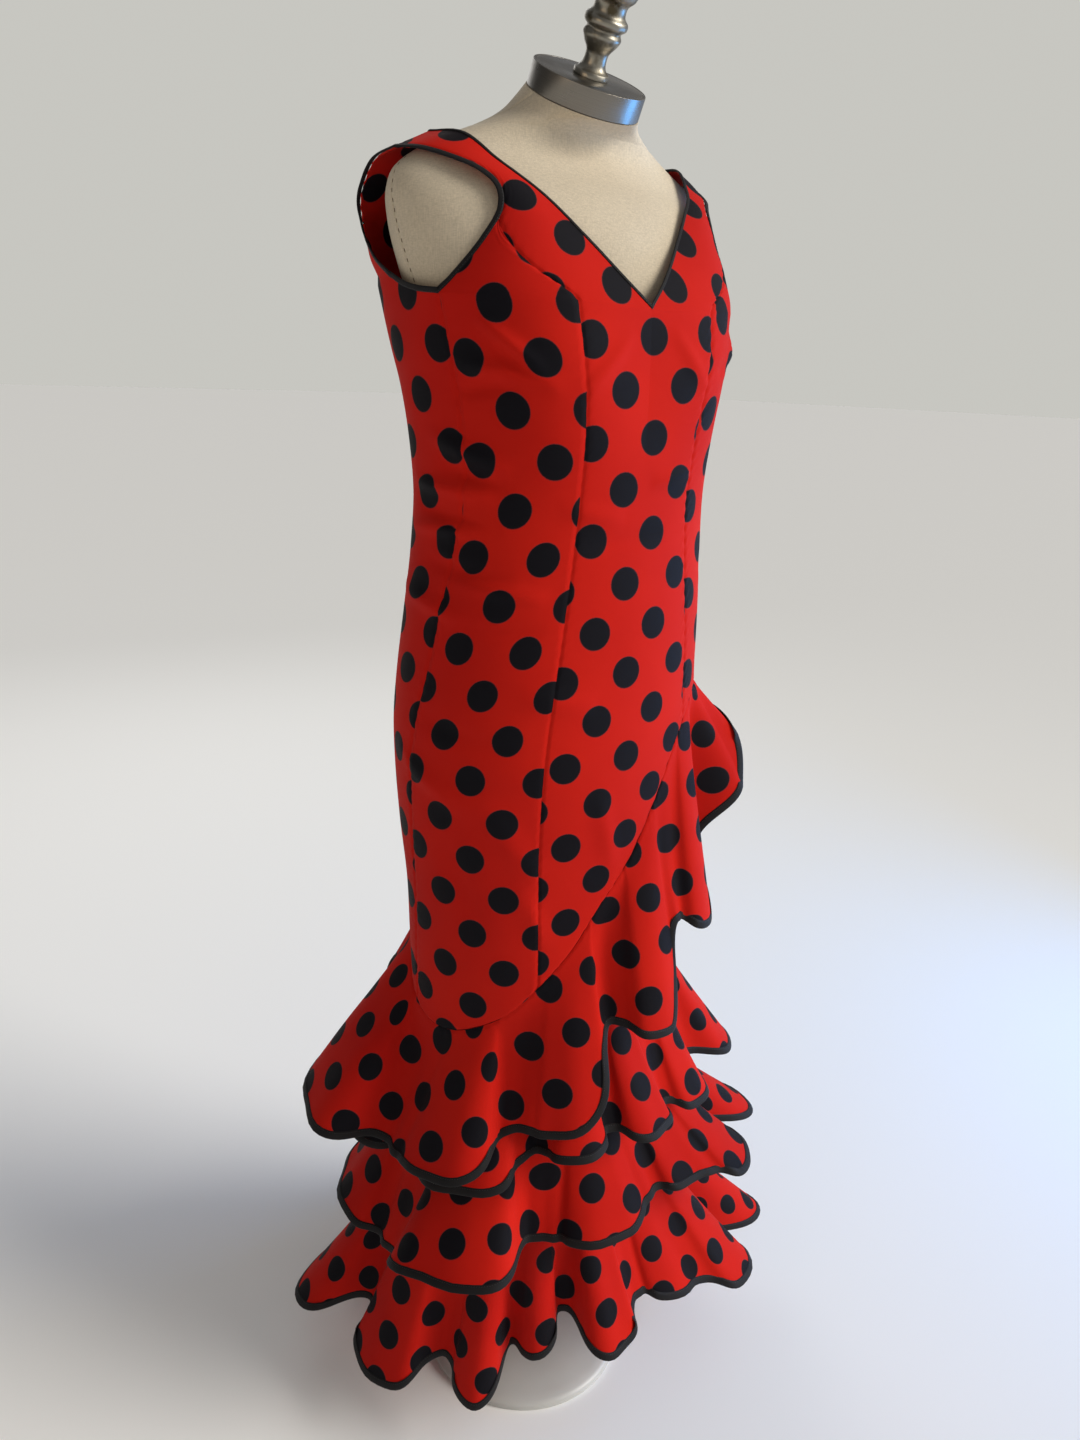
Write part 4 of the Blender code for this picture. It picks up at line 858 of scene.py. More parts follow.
def polar_point(angle, radius, height):
    turned = np.radians(angle)
    return np.array([radius * np.sin(turned), -radius * np.cos(turned), height + 0 * radius])


def hem_seam_height(angle):
    wrapped = HEM_SEAM_END - np.mod(HEM_SEAM_END - angle, TURN)
    return read_table(HEM_SEAM, "angle", "height", wrapped)


# The sheath's surface
def sheath_point(angle, height):
    half_width = read_table(SHEATH_SECTIONS, "height", "half_width", height)
    ahead = np.cos(np.radians(angle)) > 0
    depth = np.where(
        ahead,
        read_table(SHEATH_SECTIONS, "height", "front", height),
        read_table(SHEATH_SECTIONS, "height", "back", height),
    )
    corner = np.where(
        ahead,
        read_table(SHEATH_SECTIONS, "height", "front_corner", height),
        read_table(SHEATH_SECTIONS, "height", "back_corner", height),
    )
    sine = np.sin(np.radians(angle))
    cosine = np.cos(np.radians(angle))
    squareness = 1 + corner * np.sin(2 * np.radians(angle)) ** 2
    above = height - BUST_HEIGHT
    reach = BUST_REACH * np.exp(-(((np.abs(angle) - BUST_ANGLE) / BUST_SPREAD) ** 2))
    reach = reach * np.exp(-((above / np.where(above > 0, BUST_RISE, BUST_FALL)) ** 2))
    x = half_width * sine * squareness + sine * reach
    y = -depth * cosine * squareness - cosine * reach
    return np.array([x, y, height + 0 * x])


def sheath_at_polar(angle, height):
    """The sheath's point at a true polar angle, found by stepping the section angle towards it."""
    section_angle = np.array(angle, float)
    for _ in range(SETTLING_STEPS):
        x, y, _ = sheath_point(wrap(section_angle), height)
        section_angle = section_angle + wrap(angle - polar_angle(x, y))
    return sheath_point(wrap(section_angle), height)


def lower_point(angle_at, side, level):
    """A point at a level from 0, the hem seam, to 1, the underarm; angle_at gives the angle for a height."""
    height = BUST_HEIGHT
    for _ in range(SETTLING_STEPS):
        angle = side * angle_at(height)
        x, y, _ = sheath_point(angle, height)
        bottom = hem_seam_height(polar_angle(x, y))
        top = read_table(UNDERARM_LINE, "angle", "height", np.abs(angle))
        height = bottom + (top - bottom) * level
    return sheath_point(side * angle_at(height), height)


# Seams as functions from a height to a section angle
def seam_angle(table):
    return lambda height: read_table(table, "height", "angle", height)


def between(start, stop, share):
    """The angle a share of the way from one seam to the next, for any height."""
    return lambda height: start(height) + (stop(height) - start(height)) * share


def centre_front(height):
    return 0.0 * height


def centre_back(height):
    return TURN / 2 + 0.0 * height


front_princess = seam_angle(FRONT_PRINCESS)
side_seam = seam_angle(SIDE_SEAM)
back_princess = seam_angle(BACK_PRINCESS)
armhole_corner = between(back_princess, side_seam, CORNER_SHARE)


# Above the underarm
def edge_point(table, share, side):
    point = np.array([read_table(table, "share", axis, share) for axis in "xyz"])
    point[0] *= side
    return point


def bodice_row(is_front, side, across, share):
    """Across runs from the neck edge, 0, to the armhole edge, 1; the straps lie flat over the shoulder."""
    neck = NECK_FRONT if is_front else NECK_BACK
    armhole = ARMHOLE_FRONT if is_front else ARMHOLE_BACK
    centre = centre_front if is_front else centre_back
    limit = side_seam if is_front else armhole_corner
    base = lower_point(between(centre, limit, across), side, 1.0).T
    base_neck = edge_point(neck, 0.0, side)
    base_armhole = edge_point(armhole, 0.0, side)
    now_neck = edge_point(neck, share, side)
    now_armhole = edge_point(armhole, share, side)
    out = across[:, None]
    bulge = base - (base_neck + (base_armhole - base_neck) * out)
    shrink = np.linalg.norm(now_armhole - now_neck) / np.linalg.norm(base_armhole - base_neck)
    return now_neck + (now_armhole - now_neck) * out + bulge * shrink * (1 - share**2)


def seam_across(is_front, share):
    """How far out the princess seam lies above the underarm, on its way to the armhole edge."""
    base = FRONT_SEAM_BASE if is_front else BACK_SEAM_BASE
    run = min(share / SEAM_END_SHARE, 1.0)
    return base + (1.0 - base) * run**2


def relief(points):
    """How far the worn cloth stands out of its smooth form at each point, away from the stand's axis."""
    x, y, z = np.moveaxis(points, -1, 0)
    angle = polar_angle(x, y)
    out = 0.0009 * np.sin(np.radians(5 * angle + 140) + 9.0 * z) * np.sin(13.0 * z + 1.0)
    for crease in CREASES:
        across = wrap(angle - crease.angle) * METRES_PER_DEGREE
        up = z - crease.height
        run = crease.turn * METRES_PER_DEGREE
        length = np.hypot(run, crease.drop)
        along = (across * run - up * crease.drop) / length**2
        off = (across * crease.drop + up * run) / length
        fade = np.sin(np.pi * np.clip(along, 0.0, 1.0)) ** 0.8
        out = out + crease.depth * fade * np.exp(-((off / crease.width) ** 2))
    return out


def worn(points):
    """The points moved out by the cloth's relief."""
    flat = points * np.array([1.0, 1.0, 0.0])
    way = flat / np.linalg.norm(flat, axis=-1, keepdims=True)
    return points + way * relief(points)[..., None]


def outward(grid):
    """Unit normals of a grid of points, away from the stand's axis."""
    normals = np.cross(np.gradient(grid, axis=0), np.gradient(grid, axis=1))
    normals = normals / np.maximum(np.linalg.norm(normals, axis=2, keepdims=True), 1e-12)
    return normals * np.sign(np.sum(normals[..., :2] * grid[..., :2]))


def drawn_in(grid, seams):
    """Draws a grid in along its seams, with small puckers beside them; seams names its sewn edges."""
    normals = outward(grid)
    rows = np.linalg.norm(np.diff(grid, axis=1), axis=2)
    columns = np.linalg.norm(np.diff(grid, axis=0), axis=2)
    from_first = np.pad(np.cumsum(rows, axis=1), ((0, 0), (1, 0)))
    up_from_hem = np.pad(np.cumsum(columns, axis=0), ((1, 0), (0, 0)))
    off = {
        "first": from_first,
        "last": from_first[:, -1:] - from_first,
        "bottom": up_from_hem,
        "top": up_from_hem[-1:] - up_from_hem,
    }
    depth = 0.0
    for seam in seams:
        lengthwise = from_first if seam in ("bottom", "top") else up_from_hem
        pucker = np.sin(2 * np.pi * lengthwise / PUCKER_LENGTH + 2.0 * np.sin(23.0 * lengthwise))
        depth = depth + SEAM_DIP * np.exp(-((off[seam] / SEAM_DIP_WIDTH) ** 2))
        depth = depth + PUCKER_DEPTH * pucker * np.exp(-((off[seam] / PUCKER_REACH) ** 2))
    return grid - normals * np.asarray(depth)[..., None]


def seam_shares(columns):
    """Shares of the way across a panel, closer together beside its seams."""
    beside = np.array(BESIDE_SEAM)
    return np.unique(np.concatenate((np.linspace(0.0, 1.0, columns + 1), beside, 1 - beside)))


def lower_map(grid, middle, start):
    """Where a lower grid lies on the flat cloth: across from its middle column, and up as it stands."""
    steps = np.linalg.norm(np.diff(grid[..., :2], axis=1), axis=2)
    across = np.pad(np.cumsum(steps, axis=1), ((0, 0), (1, 0)))
    return np.stack((across - across[:, middle:middle + 1] + start, grid[..., 2]), axis=2)


def upper_map(grid, below):
    """Goes on from a flat row, unrolling one row after another along the middle column."""
    middle = grid.shape[1] // 2
    rows = [below]
    for low, high in zip(grid, grid[1:]):
        low_way = low[-1] - low[0]
        low_way = low_way / np.linalg.norm(low_way)
        step = high[middle] - low[middle]
        across = step @ low_way
        up = np.linalg.norm(step - low_way * across)
        along = np.pad(np.cumsum(np.linalg.norm(np.diff(high, axis=0), axis=1)), (1, 0))
        place = rows[-1][middle, 0] + across + along - along[middle]
        rows.append(np.stack((place, rows[-1][:, 1] + up), axis=1))
    return np.array(rows)


def cotton_finish(name, thread_colour, shade_colour):
    """Plain-woven cotton with a printed ground: matt, a little fuzzy at grazing angles, with round black dots
    whose edges bleed by a thread. The threads are drawn 0.9 mm apart, three times the real spacing, so that
    they show."""
    material, tree, output = new_finish(name)
    cloth = add_node(tree, "ShaderNodeUVMap", {"uv_map": "cloth_map"}).outputs["UV"]
    place = add_node(tree, "ShaderNodeTexCoord").outputs["Object"]
    bleed = add_node(tree, "ShaderNodeTexNoise", {"Scale": 700.0, "Detail": 2.0}, {"Vector": cloth})
    reaches = []
    for shift_across, shift_down in ((0.0, 0.0), (DOT_ACROSS / 2, DOT_DOWN / 2)):
        shifted = add_node(
            tree, "ShaderNodeVectorMath", {"operation": "ADD", 1: (shift_across, shift_down, 0.0)}, {0: cloth}
        )
        cell = add_node(
            tree,
            "ShaderNodeVectorMath",
            {
                "operation": "WRAP",
                1: (DOT_ACROSS / 2, DOT_DOWN / 2, 1.0),
                2: (-DOT_ACROSS / 2, -DOT_DOWN / 2, -1.0),
            },
            {0: shifted.outputs["Vector"]},
        )
        reach = add_node(tree, "ShaderNodeVectorMath", {"operation": "LENGTH"}, {0: cell.outputs["Vector"]})
        reaches.append(reach.outputs["Value"])
    nearest = add_node(tree, "ShaderNodeMath", {"operation": "MINIMUM"}, {0: reaches[0], 1: reaches[1]})
    frayed = add_node(
        tree,
        "ShaderNodeMath",
        {"operation": "MULTIPLY_ADD", 1: 0.0009},
        {0: bleed.outputs["Fac"], 2: nearest.outputs[0]},
    )
    dot = add_node(
        tree,
        "ShaderNodeMapRange",
        {
            "interpolation_type": "SMOOTHSTEP",
            "From Min": DOT_RADIUS,
            "From Max": DOT_RADIUS + 0.0009,
            "To Min": 1.0,
            "To Max": 0.0,
        },
        {"Value": frayed.outputs[0]},
    )
    rim = add_node(
        tree,
        "ShaderNodeMapRange",
        {
            "interpolation_type": "SMOOTHSTEP",
            "From Min": DOT_RADIUS + 0.0002,
            "From Max": DOT_RADIUS + 0.0017,
            "To Min": 1.0,
            "To Max": 0.0,
        },
        {"Value": frayed.outputs[0]},
    )
    cloud = add_node(tree, "ShaderNodeTexNoise", {"Scale": 5.0, "Detail": 3.0}, {"Vector": place})
    ground = add_node(tree, "ShaderNodeValToRGB", {}, {"Fac": cloud.outputs["Fac"]})
    ground.color_ramp.elements[0].position = 0.30
    ground.color_ramp.elements[0].color = linear(shade_colour)
    ground.color_ramp.elements[1].position = 0.70
    ground.color_ramp.elements[1].color = linear(thread_colour)
    rimmed = add_node(
        tree,
        "ShaderNodeMix",
        {"data_type": "RGBA", 7: linear("6B2A2C")},
        {0: rim.outputs["Result"], 6: ground.outputs["Color"]},
    )
    printed = add_node(
        tree,
        "ShaderNodeMix",
        {"data_type": "RGBA", 7: linear("08060E")},
        {0: dot.outputs["Result"], 6: rimmed.outputs[2]},
    )
    threads = add_node(
        tree, "ShaderNodeVectorMath", {"operation": "SCALE", "Scale": 2 * np.pi / COTTON_THREAD}, {0: cloth}
    )
    waves = add_node(tree, "ShaderNodeVectorMath", {"operation": "SINE"}, {0: threads.outputs["Vector"]})
    warp_weft = add_node(tree, "ShaderNodeSeparateXYZ", {}, {"Vector": waves.outputs["Vector"]})
    weave = add_node(
        tree, "ShaderNodeMath", {"operation": "MULTIPLY"}, {0: warp_weft.outputs[0], 1: warp_weft.outputs[1]}
    )
    tint = add_node(
        tree, "ShaderNodeMapRange", {"From Min": -1.0, "From Max": 1.0, "To Min": 0.90, "To Max": 1.08},
        {"Value": weave.outputs[0]},
    )
    woven = add_node(
        tree,
        "ShaderNodeMix",
        {"data_type": "RGBA", "blend_type": "MULTIPLY", 0: 1.0},
        {6: printed.outputs[2], 7: tint.outputs["Result"]},
    )
    roughness = add_node(
        tree, "ShaderNodeMapRange", {"To Min": 0.84, "To Max": 0.72}, {"Value": dot.outputs["Result"]}
    )
    bump = add_node(
        tree, "ShaderNodeBump", {"Strength": 0.22, "Distance": 0.0003}, {"Height": weave.outputs[0]}
    )
    shader = add_node(
        tree,
        "ShaderNodeBsdfPrincipled",
        {
            "IOR": 1.45,
            "Specular IOR Level": 0.16,
            "Sheen Weight": 0.03,
            "Sheen Roughness": 0.4,
            "Sheen Tint": linear("FFD8D0"),
        },
        {
            "Base Color": woven.outputs[2],
            "Roughness": roughness.outputs["Result"],
            "Normal": bump.outputs["Normal"],
        },
    )
    tree.links.new(shader.outputs["BSDF"], output.inputs["Surface"])
    return material


def sew_cloth(name, grids, maps, finish, wall=CLOTH_WALL, flip=False):
    """One piece of cloth from grids of points and where they lie on the flat cloth; its wall goes inwards."""
    points = np.concatenate([grid.reshape(-1, 3) for grid in grids])
    flat = np.concatenate([flat_map.reshape(-1, 2) for flat_map in maps])
    faces = []
    first = 0
    for grid in grids:
        rows, columns = grid.shape[:2]
        for row in range(rows - 1):
            for column in range(columns - 1):
                here = first + row * columns + column
                corner = (here, here + 1, here + columns + 1, here + columns)
                faces.append(corner)
        first += rows * columns
    mesh = bpy.data.meshes.new(name)
    mesh.from_pydata(points.tolist(), [], faces)
    corner_points = np.empty(len(mesh.loops), dtype=np.int32)
    mesh.loops.foreach_get("vertex_index", corner_points)
    layer = mesh.uv_layers.new(name="cloth_map")
    layer.data.foreach_set("uv", flat[corner_points].ravel().astype(np.float32))
    sheet = bmesh.new()
    sheet.from_mesh(mesh)
    bmesh.ops.remove_doubles(sheet, verts=sheet.verts, dist=0.000001)
    if flip:
        bmesh.ops.reverse_faces(sheet, faces=sheet.faces)
    sheet.to_mesh(mesh)
    sheet.free()
    thing = add_piece(name, mesh, finish)
    thickness = thing.modifiers.new("wall", "SOLIDIFY")
    thickness.thickness = wall
    thickness.offset = -1.0
    thickness.use_rim = True
    make_plain(thing, 50.0)
    return thing


def make_plain(thing, sharp_angle):
    """Turns the piece's modifiers into its own mesh."""
    evaluated = thing.evaluated_get(bpy.context.evaluated_depsgraph_get())
    mesh = bpy.data.meshes.new_from_object(evaluated)
    thing.modifiers.clear()
    thing.data = mesh
    mesh.shade_smooth()
    mesh.set_sharp_from_angle(angle=radians(sharp_angle))


def cut_area(grids):
    """The flat cloth's area in square metres."""
    area = 0.0
    for grid in grids:
        one = np.cross(grid[1:, :-1] - grid[:-1, :-1], grid[:-1, 1:] - grid[:-1, :-1])
        two = np.cross(grid[1:, :-1] - grid[1:, 1:], grid[:-1, 1:] - grid[1:, 1:])
        area += (np.linalg.norm(one, axis=2).sum() + np.linalg.norm(two, axis=2).sum()) / 2
    return float(area)


def facing_out(grid):
    """True if the grid's faces, in row then column order, turn away from the stand's axis."""
    normals = np.cross(np.diff(grid, axis=1)[:-1], np.diff(grid, axis=0)[:, :-1])
    return float(np.sum(normals[..., :2] * grid[:-1, :-1, :2])) > 0


# How each panel was laid on the print: moved across and up the cloth, and turned off the straight grain
PrintPlace = namedtuple("PrintPlace", "across up turned")
CENTRE_FRONT_PRINT = PrintPlace(0.0442, 0.0552, -4.3)
SIDE_FRONT_PRINT = {1: PrintPlace(0.0210, 0.0300, 2.0), -1: PrintPlace(0.0076, 0.0757, -1.5)}
SIDE_BACK_PRINT = {1: PrintPlace(0.0220, 0.0350, 1.0), -1: PrintPlace(0.0035, 0.0643, 0.0)}
BACK_PRINT = {1: PrintPlace(0.0180, 0.0080, 2.0), -1: PrintPlace(-0.0120, 0.0460, -1.0)}

red_cotton = cotton_finish("dotted_cotton_poplin", "C71A0A", "B61107")
levels = np.linspace(0.0, 1.0, PANEL_ROWS + 1)
levels = np.unique(np.concatenate((levels, (0.002, 0.004, 0.007))))
upper_shares = np.linspace(0.0, 1.0, BODICE_ROWS + 1)
shares_across = seam_shares(PANEL_COLUMNS)


def lower_grid(start, stop, side):
    """Rows from the hem seam up to the underarm, columns from one seam to the next."""
    columns = [lower_point(between(start, stop, share), side, levels) for share in shares_across]
    return np.moveaxis(np.array(columns), 2, 0)


def sewn_panel(name, node, grids, maps, side_by_side=False):
    """Gives a panel its wall and its place in the dress; returns it with its flat width, length and area."""
    panel = sew_cloth(name, grids, maps, red_cotton, flip=not facing_out(grids[0]))
    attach(panel, "dress_on_form")
    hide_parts(node)
    widths = [float(np.linalg.norm(np.diff(grid, axis=1), axis=2).sum(axis=1).max()) for grid in grids]
    lengths = [float(np.linalg.norm(np.diff(grid, axis=0), axis=2).sum(axis=0).max()) for grid in grids]
    if side_by_side:
        return panel, sum(widths), max(lengths), cut_area(grids)
    return panel, max(widths), sum(lengths), cut_area(grids)


def centre_grid(is_front, side):
    """From the centre line to the princess seam, and above the underarm from the neck edge outwards."""
    centre = centre_front if is_front else centre_back
    princess = front_princess if is_front else back_princess
    lower = lower_grid(centre, princess, side)
    rows = [
        bodice_row(is_front, side, shares_across * seam_across(is_front, share), share) for share in upper_shares
    ]
    upper = np.array(rows)
    start = 0.0
    lower_flat = lower_map(lower, 0, start)
    upper_flat = upper_map(upper, lower_flat[-1])
    whole = worn(np.concatenate((lower, upper[1:])))
    flat = np.concatenate((lower_flat, upper_flat[1:]))
    return whole, flat


def printed(flat, side, spot):
    """Places a panel's flat map on the print; the wearer's right is to the left of the centre."""
    across, up = flat[..., 0] * side, flat[..., 1]
    turn_cos, turn_sin = cos(radians(spot.turned)), sin(radians(spot.turned))
    return np.stack(
        (across * turn_cos - up * turn_sin + spot.across, across * turn_sin + up * turn_cos + spot.up),
        axis=-1,
    )


halves = []
half_maps = []
for side in (1, -1):
    whole, flat = centre_grid(True, side)
    halves.append(drawn_in(whole, ["last", "bottom"]))
    half_maps.append(printed(flat, side, CENTRE_FRONT_PRINT))
middle_line = (halves[0][:, 0] + halves[1][:, 0]) / 2
below_neck = len(levels)
for half in halves:
    half[:below_neck, 0] = middle_line[:below_neck]
halves[1] = halves[1][:, ::-1]
half_maps[1] = half_maps[1][:, ::-1]
sewn_panel("centre_front_panel", "center_front", halves, half_maps, True)

for side, word in ((1, "left"), (-1, "right")):
    whole, flat = centre_grid(False, side)
    grid = drawn_in(whole, ["first", "last", "bottom"])
    flat = printed(flat, -side, BACK_PRINT[side])
    sewn_panel("back_panel_" + word, "back_" + word, [grid], [flat])

for side, word in ((1, "left"), (-1, "right")):
    for is_front, spots in ((True, SIDE_FRONT_PRINT), (False, SIDE_BACK_PRINT)):
        princess = front_princess if is_front else back_princess
        lower = lower_grid(princess, side_seam, side)
        middle = len(shares_across) // 2
        lower_flat = lower_map(lower, middle, 0.0)
        tip_shares = SEAM_END_SHARE * np.linspace(0.0, 0.985, BODICE_ROWS // 2)
        columns = shares_across if is_front else shares_across[shares_across <= CORNER_SHARE] / CORNER_SHARE
        rows = []
        for share in tip_shares:
            seam = seam_across(is_front, share)
            rows.append(bodice_row(is_front, side, seam + (1.0 - seam) * columns, share))
        upper = np.array(rows)
        upper[0] = lower[-1, : len(columns)]
        upper_flat = upper_map(upper, lower_flat[-1, : len(columns)])
        lower_worn = drawn_in(worn(lower), ["first", "last", "bottom"])
        upper_worn = drawn_in(worn(upper), ["first"])
        upper_worn[0] = lower_worn[-1, : len(columns)]
        turn = side if is_front else -side
        maps = [printed(lower_flat, turn, spots[side]), printed(upper_flat, turn, spots[side])]
        place_word = "front_" if is_front else "back_"
        sewn_panel(
                "side_" + place_word + "panel_" + word,
                "side_" + place_word + word,
                [lower_worn, upper_worn],
                maps,
            )


# The neck and armhole bindings: black bias tape folded over the raw edge and stitched through, 3.6 mm wide
# round the neck and 5.6 mm round the armholes.
NECK_TAPE_WIDTH = 0.0036
ARMHOLE_TAPE_WIDTH = 0.0056
EDGE_TAPE_WALL = 0.0021
TAPE_OVERLAP = 0.0008
TAPE_SIDES = 12
TAPE_THREAD = 0.0008
STITCH_LENGTH = 0.0021
STITCH_PITCH = 0.0030
STITCH_THICKNESS = 0.0005


def bias_tape_finish():
    """Black cotton bias tape: the same plain weave turned by 45 degrees, pressed to a slight sheen."""
    material, tree, output = new_finish("black_cotton_bias_tape")
    cloth = add_node(tree, "ShaderNodeUVMap", {"uv_map": "cloth_map"}).outputs["UV"]
    turned = add_node(
        tree,
        "ShaderNodeMapping",
        {"Rotation": (0.0, 0.0, radians(45.0)), "Scale": (2 * np.pi / TAPE_THREAD,) * 3},
        {"Vector": cloth},
    )
    waves = add_node(tree, "ShaderNodeVectorMath", {"operation": "SINE"}, {0: turned.outputs["Vector"]})
    warp_weft = add_node(tree, "ShaderNodeSeparateXYZ", {}, {"Vector": waves.outputs["Vector"]})
    weave = add_node(
        tree, "ShaderNodeMath", {"operation": "MULTIPLY"}, {0: warp_weft.outputs[0], 1: warp_weft.outputs[1]}
    )
    place = add_node(tree, "ShaderNodeTexCoord").outputs["Object"]
    lint = add_node(tree, "ShaderNodeTexNoise", {"Scale": 90.0, "Detail": 4.0}, {"Vector": place})
    tone = add_node(tree, "ShaderNodeValToRGB", {}, {"Fac": lint.outputs["Fac"]})
    tone.color_ramp.elements[0].color = linear("060507")
    tone.color_ramp.elements[1].color = linear("110D0F")
    bump = add_node(
        tree, "ShaderNodeBump", {"Strength": 0.3, "Distance": 0.0002}, {"Height": weave.outputs[0]}
    )
    shader = add_node(
        tree,
        "ShaderNodeBsdfPrincipled",
        {"Roughness": 0.68, "Specular IOR Level": 0.30, "Sheen Weight": 0.04, "IOR": 1.45},
        {"Base Color": tone.outputs["Color"], "Normal": bump.outputs["Normal"]},
    )
    tree.links.new(shader.outputs["BSDF"], output.inputs["Surface"])
    return material


def sewing_thread_finish():
    """Black polyester thread, a little shinier than the tape it lies in."""
    material, tree, output = new_finish("black_polyester_thread")
    place = add_node(tree, "ShaderNodeTexCoord").outputs["Object"]
    twist = add_node(tree, "ShaderNodeTexNoise", {"Scale": 1500.0, "Detail": 1.0}, {"Vector": place})
    tone = add_node(tree, "ShaderNodeValToRGB", {}, {"Fac": twist.outputs["Fac"]})
    tone.color_ramp.elements[0].color = linear("0B0A0C")
    tone.color_ramp.elements[1].color = linear("1E1B1D")
    shader = add_node(
        tree,
        "ShaderNodeBsdfPrincipled",
        {"Roughness": 0.38, "IOR": 1.5},
        {"Base Color": tone.outputs["Color"]},
    )
    tree.links.new(shader.outputs["BSDF"], output.inputs["Surface"])
    return material


def edge_frame(edge, inner, closed):
    """At each point of an edge: along it, out of the cloth square to it, and square to the cloth."""
    along = np.roll(edge, -1, axis=0) - np.roll(edge, 1, axis=0) if closed else np.gradient(edge, axis=0)
    along = along / np.linalg.norm(along, axis=1, keepdims=True)
    step = edge - inner
    way = step - along * np.sum(step * along, axis=1, keepdims=True)
    way = way / np.linalg.norm(way, axis=1, keepdims=True)
    return along, way, np.cross(along, way)


def bind_edge(name, edge, way, normal, width, wall, overlap, closed, finish):
    """A folded tape round an edge: a flat tube with a round outer fold, puffed between its stitches."""
    lengths = np.linalg.norm(np.diff(edge, axis=0), axis=1)
    along = np.pad(np.cumsum(lengths), (1, 0))
    count = len(edge)
    centre = edge + way * (width / 2 - overlap)
    puff = 1.0 + 0.10 * np.sin(2 * np.pi * along / 0.013) * np.sin(2 * np.pi * along / 0.047 + 1.0)
    turns = np.linspace(0.0, 2 * np.pi, TAPE_SIDES, endpoint=False)
    girth = 2 * (width + wall)
    points = []
    flat = []
    for turn in turns:
        rise = np.sign(np.sin(turn)) * np.abs(np.sin(turn)) ** 0.6 * wall / 2
        points.append(centre + way * (np.cos(turn) * width / 2) + normal * (rise * puff)[:, None])
        flat.append(np.stack((along, np.full(count, girth * turn / (2 * np.pi))), axis=1))
    points = np.array(points)
    flat = np.array(flat)
    faces = []
    last = count if closed else count - 1
    for turn in range(TAPE_SIDES):
        after = (turn + 1) % TAPE_SIDES
        for step in range(last):
            on = (step + 1) % count
            faces.append((turn * count + step, turn * count + on, after * count + on, after * count + step))
    if not closed:
        faces.append(tuple(turn * count for turn in range(TAPE_SIDES)))
        faces.append(tuple(turn * count + count - 1 for turn in range(TAPE_SIDES))[::-1])
    mesh = bpy.data.meshes.new(name)
    mesh.from_pydata(points.reshape(-1, 3).tolist(), [], faces)
    corner_points = np.empty(len(mesh.loops), dtype=np.int32)
    mesh.loops.foreach_get("vertex_index", corner_points)
    layer = mesh.uv_layers.new(name="cloth_map")
    layer.data.foreach_set("uv", flat.reshape(-1, 2)[corner_points].ravel().astype(np.float32))
    tube = bmesh.new()
    tube.from_mesh(mesh)
    bmesh.ops.recalc_face_normals(tube, faces=tube.faces)
    tube.to_mesh(mesh)
    tube.free()
    return add_piece(name, mesh, finish, 60.0)


def stitch_tree():
    """Lays one small stitch after another along an edge, each a flattened ball turned the way it runs."""
    tree = bpy.data.node_groups.new("row_of_stitches", "GeometryNodeTree")
    sockets = tree.interface
    sockets.new_socket("Path", in_out="INPUT", socket_type="NodeSocketGeometry")
    for label, default in (
        ("Pitch", STITCH_PITCH),
        ("Length", STITCH_LENGTH),
        ("Thickness", STITCH_THICKNESS),
    ):
        sockets.new_socket(label, in_out="INPUT", socket_type="NodeSocketFloat").default_value = default
    sockets.new_socket("Thread", in_out="INPUT", socket_type="NodeSocketMaterial")
    sockets.new_socket("Stitches", in_out="OUTPUT", socket_type="NodeSocketGeometry")
    inputs = add_node(tree, "NodeGroupInput").outputs
    path = add_node(tree, "GeometryNodeMeshToCurve", {}, {"Mesh": inputs["Path"]})
    spaced = add_node(
        tree,
        "GeometryNodeResampleCurve",
        {"mode": "LENGTH"},
        {"Curve": path.outputs["Curve"], "Length": inputs["Pitch"]},
    )
    way = add_node(tree, "GeometryNodeInputTangent")
    turn = add_node(
        tree, "FunctionNodeAlignRotationToVector", {"axis": "X"}, {"Vector": way.outputs["Tangent"]}
    )
    ball = add_node(tree, "GeometryNodeMeshIcoSphere", {"Radius": 0.5, "Subdivisions": 1})
    size = add_node(
        tree,
        "ShaderNodeCombineXYZ",
        {},
        {0: inputs["Length"], 1: inputs["Thickness"], 2: inputs["Thickness"]},
    )
    placed = add_node(
        tree,
        "GeometryNodeInstanceOnPoints",
        {},
        {
            "Points": spaced.outputs["Curve"],
            "Instance": ball.outputs["Mesh"],
            "Rotation": turn.outputs["Rotation"],
            "Scale": size.outputs["Vector"],
        },
    )
    real = add_node(tree, "GeometryNodeRealizeInstances", {}, {"Geometry": placed.outputs["Instances"]})
    coloured = add_node(
        tree,
        "GeometryNodeSetMaterial",
        {},
        {"Geometry": real.outputs["Geometry"], "Material": inputs["Thread"]},
    )
    add_node(tree, "NodeGroupOutput", {}, {"Stitches": coloured.outputs["Geometry"]})
    return tree


